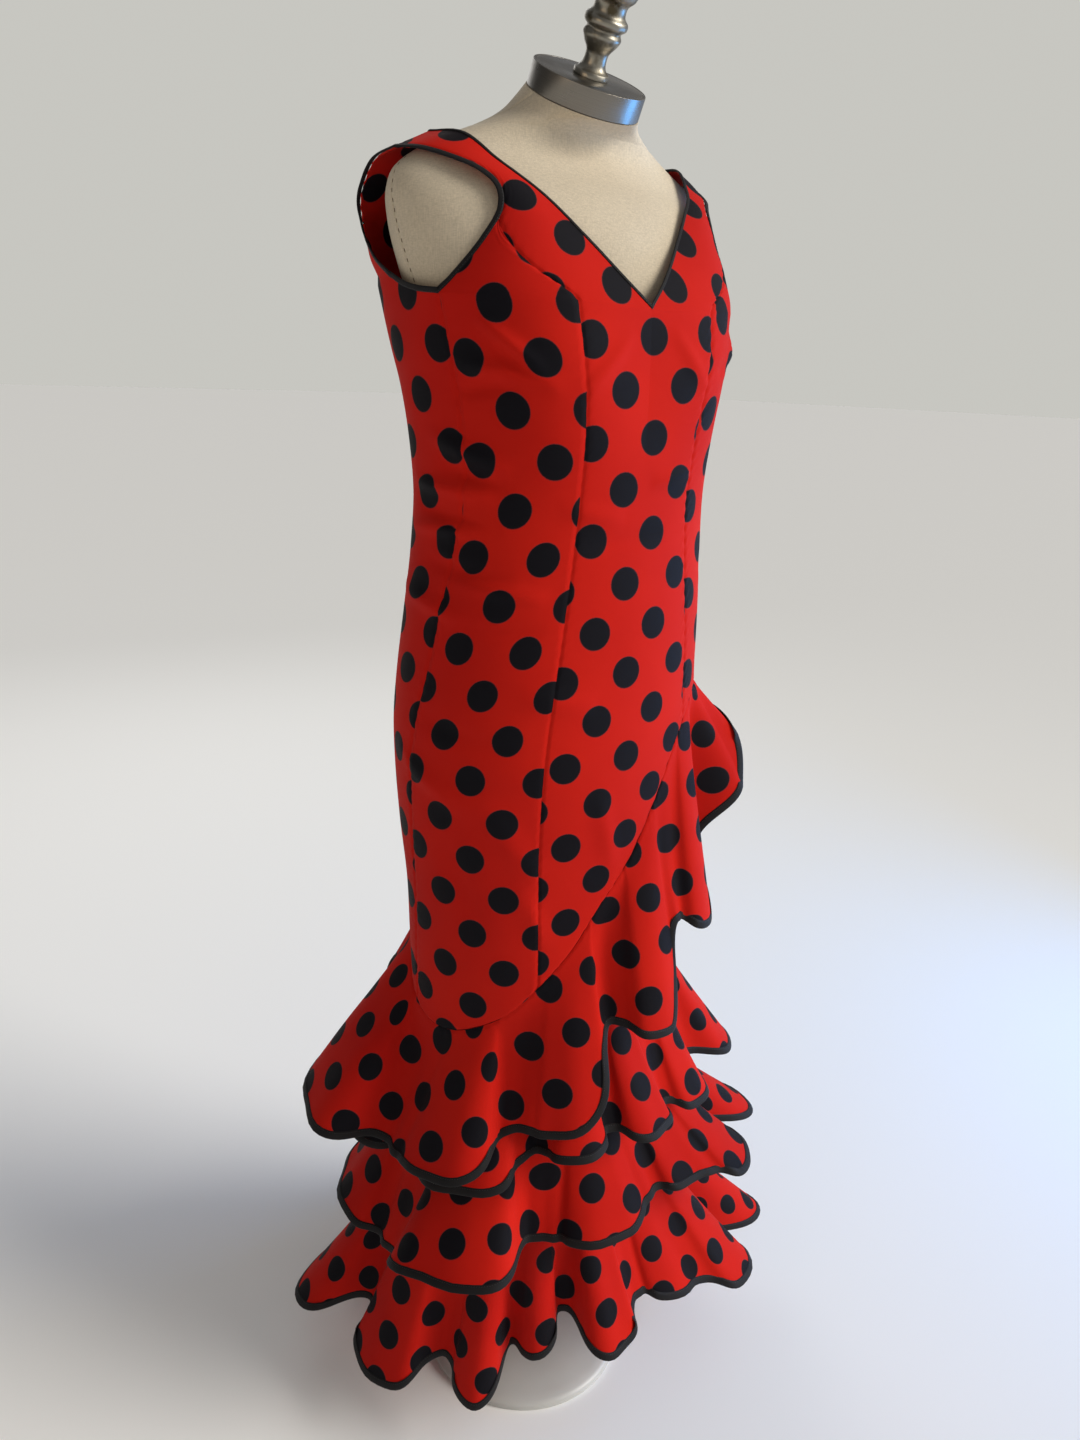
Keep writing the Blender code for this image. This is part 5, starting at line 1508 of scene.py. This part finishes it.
def stitched(name, lines, thread, pitch=STITCH_PITCH, length=STITCH_LENGTH, thickness=STITCH_THICKNESS):
    """Rows of stitches along lines of points, as one plain mesh."""
    points = []
    edges = []
    for line, closed in lines:
        first = len(points)
        points.extend(np.asarray(line).tolist())
        edges.extend((first + step, first + step + 1) for step in range(len(line) - 1))
        if closed:
            edges.append((first + len(line) - 1, first))
    mesh = bpy.data.meshes.new(name + "_path")
    mesh.from_pydata(points, edges, [])
    thing = bpy.data.objects.new(name, mesh)
    bpy.context.scene.collection.objects.link(thing)
    rows = thing.modifiers.new("rows", "NODES")
    rows.node_group = stitches
    sizes = {"Pitch": pitch, "Length": length, "Thickness": thickness, "Thread": thread}
    for item in stitches.interface.items_tree:
        if item.in_out == "INPUT" and item.name in sizes:
            rows[item.identifier] = sizes[item.name]
    plain = bpy.data.meshes.new_from_object(thing.evaluated_get(bpy.context.evaluated_depsgraph_get()))
    thing.modifiers.clear()
    thing.data = plain
    plain.shade_smooth()
    return thing


bias_tape = bias_tape_finish()
black_thread = sewing_thread_finish()
stitches = stitch_tree()


def strap_pairs(is_front, side, shares):
    """Points of the armhole edge, with the panel point beside each."""
    edge = []
    inner = []
    for share in shares:
        row = bodice_row(is_front, side, np.array([0.97, 1.0]), share)
        inner.append(row[0])
        edge.append(row[1])
    return edge, inner


def armhole_binding(side, word):
    """A closed loop: up the front edge, down the back edge and along the underarm to the side seam."""
    front_edge, front_inner = strap_pairs(True, side, upper_shares[1:])
    back_edge, back_inner = strap_pairs(False, side, upper_shares[-2:0:-1])
    columns = np.linspace(CORNER_SHARE, 1.0, 14)
    under = [
        lower_point(between(back_princess, side_seam, share), side, np.array([0.99, 1.0])).T for share in columns
    ]
    edge = worn(np.array(front_edge + back_edge + [pair[1] for pair in under]))
    inner = worn(np.array(front_inner + back_inner + [pair[0] for pair in under]))
    along, way, normal = edge_frame(edge, inner, True)
    outwards = normal * np.sign(np.sum(normal[:, :2] * edge[:, :2]))
    tape = bind_edge(
        "armhole_binding_" + word,
        edge,
        way,
        outwards,
        ARMHOLE_TAPE_WIDTH,
        EDGE_TAPE_WALL,
        TAPE_OVERLAP,
        True,
        bias_tape,
    )
    seam = edge + way * (ARMHOLE_TAPE_WIDTH * 0.12 - TAPE_OVERLAP / 2) + outwards * EDGE_TAPE_WALL * 0.44
    rows = stitched("armhole_stitches_" + word, [(seam, True)], black_thread)
    for piece in (tape, rows):
        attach(piece, "dress_on_form")
    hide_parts("armhole_tape_" + word)


def neck_line(side):
    """From the centre back over one shoulder to the V; each point has the panel point beside it."""
    edge = []
    inner = []
    for is_front, shares in ((False, upper_shares), (True, upper_shares[-2::-1])):
        for share in shares:
            row = bodice_row(is_front, side, np.array([0.0, 0.03]), share)
            edge.append(row[0])
            inner.append(row[1])
    edge = np.array(edge)
    inner = np.array(inner)
    inner[0] = edge[0] - np.array([0.0, 0.0, 0.01])
    inner[-1] = edge[-1] - np.array([0.0, 0.0, 0.01])
    return worn(edge), worn(inner)


for side, word in ((1, "left"), (-1, "right")):
    armhole_binding(side, word)
left_edge, left_inner = neck_line(1)
right_edge, right_inner = neck_line(-1)
neck_edge = np.vstack((left_edge, right_edge[-2::-1]))
neck_inner = np.vstack((left_inner, right_inner[-2::-1]))
along, way, normal = edge_frame(neck_edge, neck_inner, False)
neck_out = normal * np.sign(np.sum(normal[:, :2] * neck_edge[:, :2]))
neck_tape = bind_edge(
    "neck_binding", neck_edge, way, neck_out, NECK_TAPE_WIDTH, EDGE_TAPE_WALL, TAPE_OVERLAP, False, bias_tape
)
neck_seam = neck_edge - way * TAPE_OVERLAP * 0.2 + neck_out * EDGE_TAPE_WALL * 0.46
neck_rows = stitched("neck_stitches", [(neck_seam, False)], black_thread)
for piece in (neck_tape, neck_rows):
    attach(piece, "dress_on_form")
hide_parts("neck_tape")

# The torso cover is closed by hand over each arm end, with waxed thread whose stitches show on the linen.
FORM_STITCH_PITCH = 0.0085
FORM_STITCH_LENGTH = 0.0045
FORM_STITCH_THICKNESS = 0.0011
FORM_STITCH_HEIGHTS = np.arange(1.360, 1.512, 0.002)


def waxed_thread_finish():
    """Waxed linen thread, browned with age."""
    material, tree, output = new_finish("waxed_linen_thread")
    place = add_node(tree, "ShaderNodeTexCoord").outputs["Object"]
    age = add_node(tree, "ShaderNodeTexNoise", {"Scale": 300.0, "Detail": 2.0}, {"Vector": place})
    tone = add_node(tree, "ShaderNodeValToRGB", {}, {"Fac": age.outputs["Fac"]})
    tone.color_ramp.elements[0].color = linear("4A3B2B")
    tone.color_ramp.elements[1].color = linear("7A6850")
    shader = add_node(
        tree, "ShaderNodeBsdfPrincipled", {"Roughness": 0.6}, {"Base Color": tone.outputs["Color"]}
    )
    tree.links.new(shader.outputs["BSDF"], output.inputs["Surface"])
    return material


waxed_thread = waxed_thread_finish()
arm_end_lines = []
for seam in (90.0, 270.0):
    line = np.array([form_point(seam, height) for height in FORM_STITCH_HEIGHTS])
    line[:, 0] = line[:, 0] * (1 - FORM_SEAM_DEPTH * 0.6 / np.abs(line[:, 0]))
    arm_end_lines.append((line, False))
form_rows = stitched(
    "torso_cover_stitches",
    arm_end_lines,
    waxed_thread,
    FORM_STITCH_PITCH,
    FORM_STITCH_LENGTH,
    FORM_STITCH_THICKNESS,
)
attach(form_rows, "dress_on_form")


# The underskirt: a plain tube of the same cotton inside the flounces, sewn in at the slanting hem seam. It
# carries the three lower flounces and shows only between them and under the hip flounce.
UNDERSKIRT_INSET = CLOTH_WALL + 0.0008
UNDERSKIRT_DROP = 0.004
UNDERSKIRT_HEM_HEIGHT = 0.315
UNDERSKIRT_COLUMNS = 240
UNDERSKIRT_ROWS = 70
UNDERSKIRT_PRINT = PrintPlace(0.020, 0.030, 0.0)
UNDERSKIRT_RIPPLE = 0.0012


def underskirt_point(angle, height):
    """The underskirt hangs just inside the sheath's lowest sections; angle is the true polar angle."""
    x, y, _ = sheath_at_polar(angle, np.maximum(height, SHEATH_SECTIONS[0].height))
    return polar_point(angle, np.hypot(x, y) - UNDERSKIRT_INSET, height)


underskirt_angles = np.linspace(0.0, TURN, UNDERSKIRT_COLUMNS + 1)
underskirt_top = hem_seam_height(underskirt_angles) - UNDERSKIRT_DROP
underskirt_rows = []
for share in np.linspace(0.0, 1.0, UNDERSKIRT_ROWS + 1):
    height = UNDERSKIRT_HEM_HEIGHT + (underskirt_top - UNDERSKIRT_HEM_HEIGHT) * share
    row = underskirt_point(underskirt_angles, height).T
    ripple = UNDERSKIRT_RIPPLE * np.sin(np.radians(9 * underskirt_angles) + 6.0 * height) * (1 - share)
    spoke = row * np.array([1.0, 1.0, 0.0])
    spoke = spoke / np.linalg.norm(spoke, axis=1, keepdims=True)
    underskirt_rows.append(row - spoke * (UNDERSKIRT_RIPPLE - ripple)[:, None])
underskirt_grid = np.array(underskirt_rows)
underskirt_flat = printed(lower_map(underskirt_grid, 0, 0.0), 1, UNDERSKIRT_PRINT)
underskirt = sew_cloth(
    "plain_underskirt", [underskirt_grid], [underskirt_flat], red_cotton, flip=not facing_out(underskirt_grid)
)
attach(underskirt, "dress_on_form")
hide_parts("underskirt")

# The flounces: rings of the same cotton cut as wide spirals, so that their short inner edge is sewn on flat
# and their long outer edge falls in waves. One winds up to the left hip; three go round the underskirt.
# Flounces: each row is the top of a fold or the bottom of the hollow beside it
Fold = namedtuple("Fold", "angle reach height")
HIP_FLOUNCE = (
    Fold(62.0, 0.190, 0.952),
    Fold(58.0, 0.236, 0.915),
    Fold(54.0, 0.246, 0.858),
    Fold(47.0, 0.188, 0.790),
    Fold(40.0, 0.218, 0.700),
    Fold(24.0, 0.186, 0.720),
    Fold(13.0, 0.214, 0.600),
    Fold(-4.0, 0.172, 0.610),
    Fold(-20.0, 0.212, 0.505),
    Fold(-42.0, 0.190, 0.492),
    Fold(-62.0, 0.245, 0.445),
    Fold(-87.0, 0.224, 0.430),
    Fold(-112.0, 0.300, 0.440),
    Fold(-136.0, 0.190, 0.497),
    Fold(-155.0, 0.218, 0.552),
    Fold(-174.0, 0.188, 0.582),
    Fold(-192.0, 0.235, 0.635),
    Fold(-209.0, 0.190, 0.665),
    Fold(-225.0, 0.235, 0.715),
    Fold(-241.0, 0.192, 0.730),
    Fold(-256.0, 0.235, 0.775),
    Fold(-270.0, 0.192, 0.800),
    Fold(-283.0, 0.228, 0.860),
    Fold(-294.0, 0.186, 0.945),
)
SECOND_FLOUNCE = (
    Fold(112.0, 0.262, 0.440),
    Fold(94.0, 0.200, 0.455),
    Fold(76.0, 0.300, 0.432),
    Fold(58.0, 0.200, 0.455),
    Fold(40.0, 0.230, 0.450),
    Fold(24.0, 0.192, 0.464),
    Fold(8.0, 0.222, 0.468),
    Fold(-5.0, 0.184, 0.474),
    Fold(-17.0, 0.218, 0.470),
    Fold(-34.0, 0.183, 0.455),
    Fold(-58.0, 0.232, 0.424),
    Fold(-82.0, 0.192, 0.412),
    Fold(-106.0, 0.250, 0.418),
    Fold(-126.0, 0.195, 0.430),
    Fold(-145.0, 0.250, 0.425),
    Fold(-163.0, 0.192, 0.440),
    Fold(-181.0, 0.250, 0.430),
    Fold(-198.0, 0.192, 0.440),
    Fold(-215.0, 0.258, 0.435),
    Fold(-232.0, 0.194, 0.445),
)
THIRD_FLOUNCE = (
    Fold(76.0, 0.352, 0.300),
    Fold(64.0, 0.240, 0.330),
    Fold(52.0, 0.300, 0.332),
    Fold(33.0, 0.240, 0.350),
    Fold(16.0, 0.198, 0.352),
    Fold(0.0, 0.216, 0.338),
    Fold(-32.0, 0.182, 0.330),
    Fold(-55.0, 0.264, 0.318),
    Fold(-91.0, 0.220, 0.262),
    Fold(-118.0, 0.258, 0.280),
    Fold(-137.0, 0.208, 0.300),
    Fold(-156.0, 0.265, 0.290),
    Fold(-175.0, 0.210, 0.305),
    Fold(-194.0, 0.275, 0.292),
    Fold(-212.0, 0.212, 0.308),
    Fold(-230.0, 0.290, 0.296),
    Fold(-248.0, 0.218, 0.312),
    Fold(-257.0, 0.250, 0.308),
    Fold(-268.0, 0.230, 0.315),
)
HEM_FLOUNCE = (
    Fold(75.0, 0.380, 0.110),
    Fold(64.0, 0.270, 0.128),
    Fold(56.0, 0.318, 0.137),
    Fold(33.0, 0.240, 0.170),
    Fold(13.0, 0.192, 0.188),
    Fold(-3.0, 0.222, 0.158),
    Fold(-17.0, 0.156, 0.188),
    Fold(-31.0, 0.186, 0.150),
    Fold(-41.0, 0.166, 0.148),
    Fold(-52.0, 0.216, 0.092),
    Fold(-67.0, 0.192, 0.122),
    Fold(-87.0, 0.260, 0.086),
    Fold(-106.0, 0.226, 0.118),
    Fold(-121.0, 0.322, 0.082),
    Fold(-140.0, 0.230, 0.106),
    Fold(-159.0, 0.320, 0.082),
    Fold(-178.0, 0.232, 0.106),
    Fold(-197.0, 0.316, 0.083),
    Fold(-216.0, 0.234, 0.106),
    Fold(-235.0, 0.326, 0.088),
    Fold(-252.0, 0.240, 0.110),
    Fold(-262.0, 0.290, 0.102),
    Fold(-273.0, 0.250, 0.114),
)

# How a fold opens: its lower half bells out, and its sides lean over the hollows
FOLD_LEAN = 0.60
# Heights at which the lower flounces are sewn to the underskirt: middle, rise and where it is highest
SewnLine = namedtuple("SewnLine", "middle rise highest_angle")
SECOND_SEWN = SewnLine(0.598, 0.036, 100.0)
THIRD_SEWN = SewnLine(0.468, 0.006, 100.0)
HEM_SEWN = SewnLine(0.352, 0.006, 100.0)
FLOUNCE_DROP = 0.0008
SEWN_GAP = 0.0010
HEM_TAPE_WIDTH = 0.010
CLOTH_SHORT_OF_HEM = 0.0022
HEM_TAPE_WALL = 0.0022
HEM_SLOPE_SHARE = 0.10
COLUMNS_PER_HALF_FOLD = 18
FLOUNCE_ROWS = 26
RIPPLE_REACH = 0.0040
SHARP_FLARE_POWER = 1.32
LEAN_FULL_AT = 0.03
FOLD_ROUNDNESS = 0.75
ROUND_FULL_AT = 14.0
TURN_RADIANS = 2 * np.pi
FlounceCut = namedtuple("FlounceCut", "across up turned ripple_phase upper_fullness")
HIP_CUT = FlounceCut(0.010, 0.020, 20.0, 0.4, 1.15)
SECOND_CUT = FlounceCut(0.030, 0.000, 50.0, 1.9, 0.45)
THIRD_CUT = FlounceCut(0.000, 0.040, 10.0, 3.1, 0.45)
HEM_CUT = FlounceCut(0.020, 0.010, 75.0, 4.7, 0.60)
MEAN_COLUMNS = 2 * COLUMNS_PER_HALF_FOLD


def hip_flounce_top(angle):
    """Just below the panels' hem, all the way round."""
    hem = sheath_at_polar(angle, hem_seam_height(angle)).T
    rise = (hem_seam_height(angle + 1.0) - hem_seam_height(angle - 1.0)) / np.radians(2.0)
    slant = np.hypot(1.0, rise / np.hypot(hem[:, 0], hem[:, 1]))
    hem = worn(hem)
    hem[:, 2] -= FLOUNCE_DROP * slant / 2
    return hem.T


def sewn_top(line):
    """The top edge of a lower flounce, sewn round the outside of the underskirt."""
    def top(angle):
        height = line.middle + line.rise * np.cos(np.radians(angle - line.highest_angle))
        x, y, _ = underskirt_point(angle, height)
        return polar_point(angle, np.hypot(x, y) + CLOTH_WALL + SEWN_GAP, height)
    return top


def hem_line(folds, closed):
    """Angles, reaches, heights and leans along a hem that is level at each fold's top and hollow's bottom."""
    rows = np.array([(fold.angle, fold.reach, fold.height) for fold in folds])
    if closed:
        turn = np.array([TURN, 0.0, 0.0])
        rows = np.vstack((rows[-1] + turn, rows, rows[0] - turn, rows[1] - turn))
    else:
        rows = np.vstack((2 * rows[0] - rows[1], rows, 2 * rows[-1] - rows[-2]))
    before = rows[1:-1] - rows[:-2]
    after = rows[2:] - rows[1:-1]
    slopes = np.where(before * after > 0, (before + after) / 2, 0.0)
    line = []
    for index in range(len(rows) - 3):
        here = rows[index + 1]
        there = rows[index + 2]
        span = there[0] - here[0]
        change = here[1] - there[1]
        fullness = np.sign(change) * min(abs(change) / LEAN_FULL_AT, 1.0)
        for step in range(COLUMNS_PER_HALF_FOLD):
            t = step / COLUMNS_PER_HALF_FOLD
            point = (2 * t**3 - 3 * t**2 + 1) * here + (3 * t**2 - 2 * t**3) * there
            point = point + (t**3 - 2 * t**2 + t) * slopes[index] + (t**3 - t**2) * slopes[index + 1]
            lean = fullness * FOLD_LEAN * span * np.sin(np.pi * t) / np.pi
            width = min(abs(span) / ROUND_FULL_AT, 1.0)
            round_out = (
                abs(fullness) * width**2 * FOLD_ROUNDNESS * span * np.sin(TURN_RADIANS * t) / TURN_RADIANS
            )
            line.append((here[0] + span * t + round_out, point[1], point[2], lean))
    if not closed:
        line.append((*rows[-2], 0.0))
    return np.array(line).T


def flounce_surface(folds, closed, top_point, cut):
    """Returns a function from a share of the way down a flounce to a row of points, and the column count."""
    angles, reaches, heights, leans = hem_line(folds, closed)
    if closed:
        angles = np.append(angles, angles[0] - TURN)
        reaches = np.append(reaches, reaches[0])
        heights = np.append(heights, heights[0])
        leans = np.append(leans, leans[0])
    x, y, z = top_point(angles)
    top_radius = np.hypot(x, y)
    padded = (
        np.pad(reaches[:-1], MEAN_COLUMNS, mode="wrap") if closed else np.pad(reaches, MEAN_COLUMNS, mode="edge")
    )
    window = np.ones(2 * MEAN_COLUMNS + 1) / (2 * MEAN_COLUMNS + 1)
    mean_reach = np.convolve(padded, window, mode="valid")
    if closed:
        mean_reach = np.append(mean_reach, mean_reach[0])
    folds_out = reaches - mean_reach
    ripple = np.sin(np.radians(17 * angles) + cut.ripple_phase) * 0.6
    ripple = ripple + np.sin(np.radians(31 * angles) + 2.3 * cut.ripple_phase) * 0.4

    def row(share):
        radius = top_radius + (reaches - top_radius) * share**SHARP_FLARE_POWER
        radius = radius + RIPPLE_REACH * ripple * share + cut.upper_fullness * folds_out * share * (1 - share)
        height = z + (heights - z) * share
        turned = polar_point(angles + leans * share, radius, height)
        return turned.T
    return row


def flounce_flat(grid, cut):
    """Where a flounce lies on the flat cloth: a ring sector whose edges have the flounce's own lengths."""
    along_top = np.linalg.norm(np.diff(grid[0], axis=0), axis=1)
    along_hem = np.linalg.norm(np.diff(grid[-1], axis=0), axis=1)
    drops = np.linalg.norm(np.diff(grid, axis=0), axis=2)
    depth = float(drops.sum(axis=0).mean())
    inner = depth * along_top.sum() / (along_hem.sum() - along_top.sum())
    middle_row = grid[2 * len(grid) // 3]
    along = np.hypot(*np.diff(middle_row[:, :2], axis=0).T)
    fall = np.pad(np.cumsum(drops, axis=0), ((1, 0), (0, 0)))
    inner = inner + grid[0, :, 2].max() - grid[0, :, 2]
    middle = inner + fall[2 * len(grid) // 3]
    swept = np.pad(np.cumsum(along / ((middle[1:] + middle[:-1]) / 2)), (1, 0)) + radians(cut.turned)
    radius = inner + fall
    flat = np.stack((radius * np.sin(swept) + cut.across, -radius * np.cos(swept) + cut.up), axis=2)
    return flat, depth


def sew_flounce(name, node, folds, closed, top_point, cut):
    """A flounce with the bias tape that binds its hem, and the stitches that hold the tape."""
    row = flounce_surface(folds, closed, top_point, cut)
    shares = np.linspace(0.0, 1.0, FLOUNCE_ROWS + 1)
    shares = np.unique(np.concatenate((shares, (0.008, 0.018, 0.030))))
    grid = np.array([row(share) for share in shares])
    flat, depth = flounce_flat(grid, cut)
    hem = row(1.0)
    before = row(1.0 - HEM_SLOPE_SHARE)
    ring = hem[:-1] if closed else hem
    ring_before = before[:-1] if closed else before
    along, way, normal = edge_frame(ring, ring_before, closed)
    facing = normal * np.sign(np.sum(normal[:, :2] * ring[:, :2]))
    cloth_end = 1.0 - CLOTH_SHORT_OF_HEM / depth
    cloth_grid = np.array([row(share * cloth_end) for share in shares])
    cloth_grid = drawn_in(cloth_grid, ["bottom"])
    cloth = sew_cloth(name, [cloth_grid], [flat], red_cotton, flip=not facing_out(cloth_grid))
    overlap = HEM_TAPE_WIDTH
    tape = bind_edge(
        name + "_binding", ring, way, facing, HEM_TAPE_WIDTH, HEM_TAPE_WALL, overlap, closed, bias_tape
    )
    seam = ring - way * HEM_TAPE_WIDTH * 0.80 + facing * HEM_TAPE_WALL * 0.40
    rows = stitched(name + "_stitches", [(seam, closed)], black_thread)
    for piece, finish in ((cloth, "red_dotted_cotton"), (tape, "black_bias_tape"), (rows, "black_bias_tape")):
        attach(piece, "dress_on_form")
    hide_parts(node)
    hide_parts(node + "_tape")
    hem_length = float(np.linalg.norm(np.diff(hem, axis=0), axis=1).sum())


Flounce = namedtuple("Flounce", "name node folds closed top cut rests_on")
for flounce in (
    Flounce(
        "spiral_hip_flounce", "hip_flounce", HIP_FLOUNCE, False, hip_flounce_top, HIP_CUT,
        "centre_front_panel",
    ),
    Flounce(
        "round_second_flounce", "second_flounce", SECOND_FLOUNCE, True, sewn_top(SECOND_SEWN), SECOND_CUT,
        "plain_underskirt",
    ),
    Flounce(
        "round_third_flounce", "third_flounce", THIRD_FLOUNCE, True, sewn_top(THIRD_SEWN), THIRD_CUT,
        "plain_underskirt",
    ),
    Flounce(
        "round_hem_flounce", "hem_flounce", HEM_FLOUNCE, True, sewn_top(HEM_SEWN), HEM_CUT,
        "plain_underskirt",
    ),
):
    sew_flounce(
        flounce.name,
        flounce.node,
        flounce.folds,
        flounce.closed,
        flounce.top,
        flounce.cut,
    )

# The zip in the centre back seam: a black enamelled zinc slider with its ears and pin, and a pull tab that
# turns on the pin. Both keep the solids' own shape.


def enamelled_zinc_finish():
    """Die-cast zinc under black enamel: glossy, with the metal showing through in fine scuffs."""
    material, tree, output = new_finish("black_enamelled_zinc")
    place = add_node(tree, "ShaderNodeTexCoord").outputs["Object"]
    scuffs = add_node(tree, "ShaderNodeTexNoise", {"Scale": 1400.0, "Detail": 4.0}, {"Vector": place})
    tone = add_node(tree, "ShaderNodeValToRGB", {}, {"Fac": scuffs.outputs["Fac"]})
    tone.color_ramp.elements[0].position = 0.60
    tone.color_ramp.elements[0].color = linear("1A191B")
    tone.color_ramp.elements[1].position = 0.78
    tone.color_ramp.elements[1].color = linear("6C6A68")
    roughness = add_node(
        tree,
        "ShaderNodeMapRange",
        {"From Min": 0.4, "From Max": 0.7, "To Min": 0.28, "To Max": 0.45},
        {"Value": scuffs.outputs["Fac"]},
    )
    shader = add_node(
        tree,
        "ShaderNodeBsdfPrincipled",
        {"Metallic": 0.5},
        {"Base Color": tone.outputs["Color"], "Roughness": roughness.outputs["Result"]},
    )
    tree.links.new(shader.outputs["BSDF"], output.inputs["Surface"])
    return material


zip_enamel = enamelled_zinc_finish()
for node in ("zip_slider", "zip_pull"):
    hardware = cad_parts[node]
    hardware.data.materials.clear()
    hardware.data.materials.append(zip_enamel)
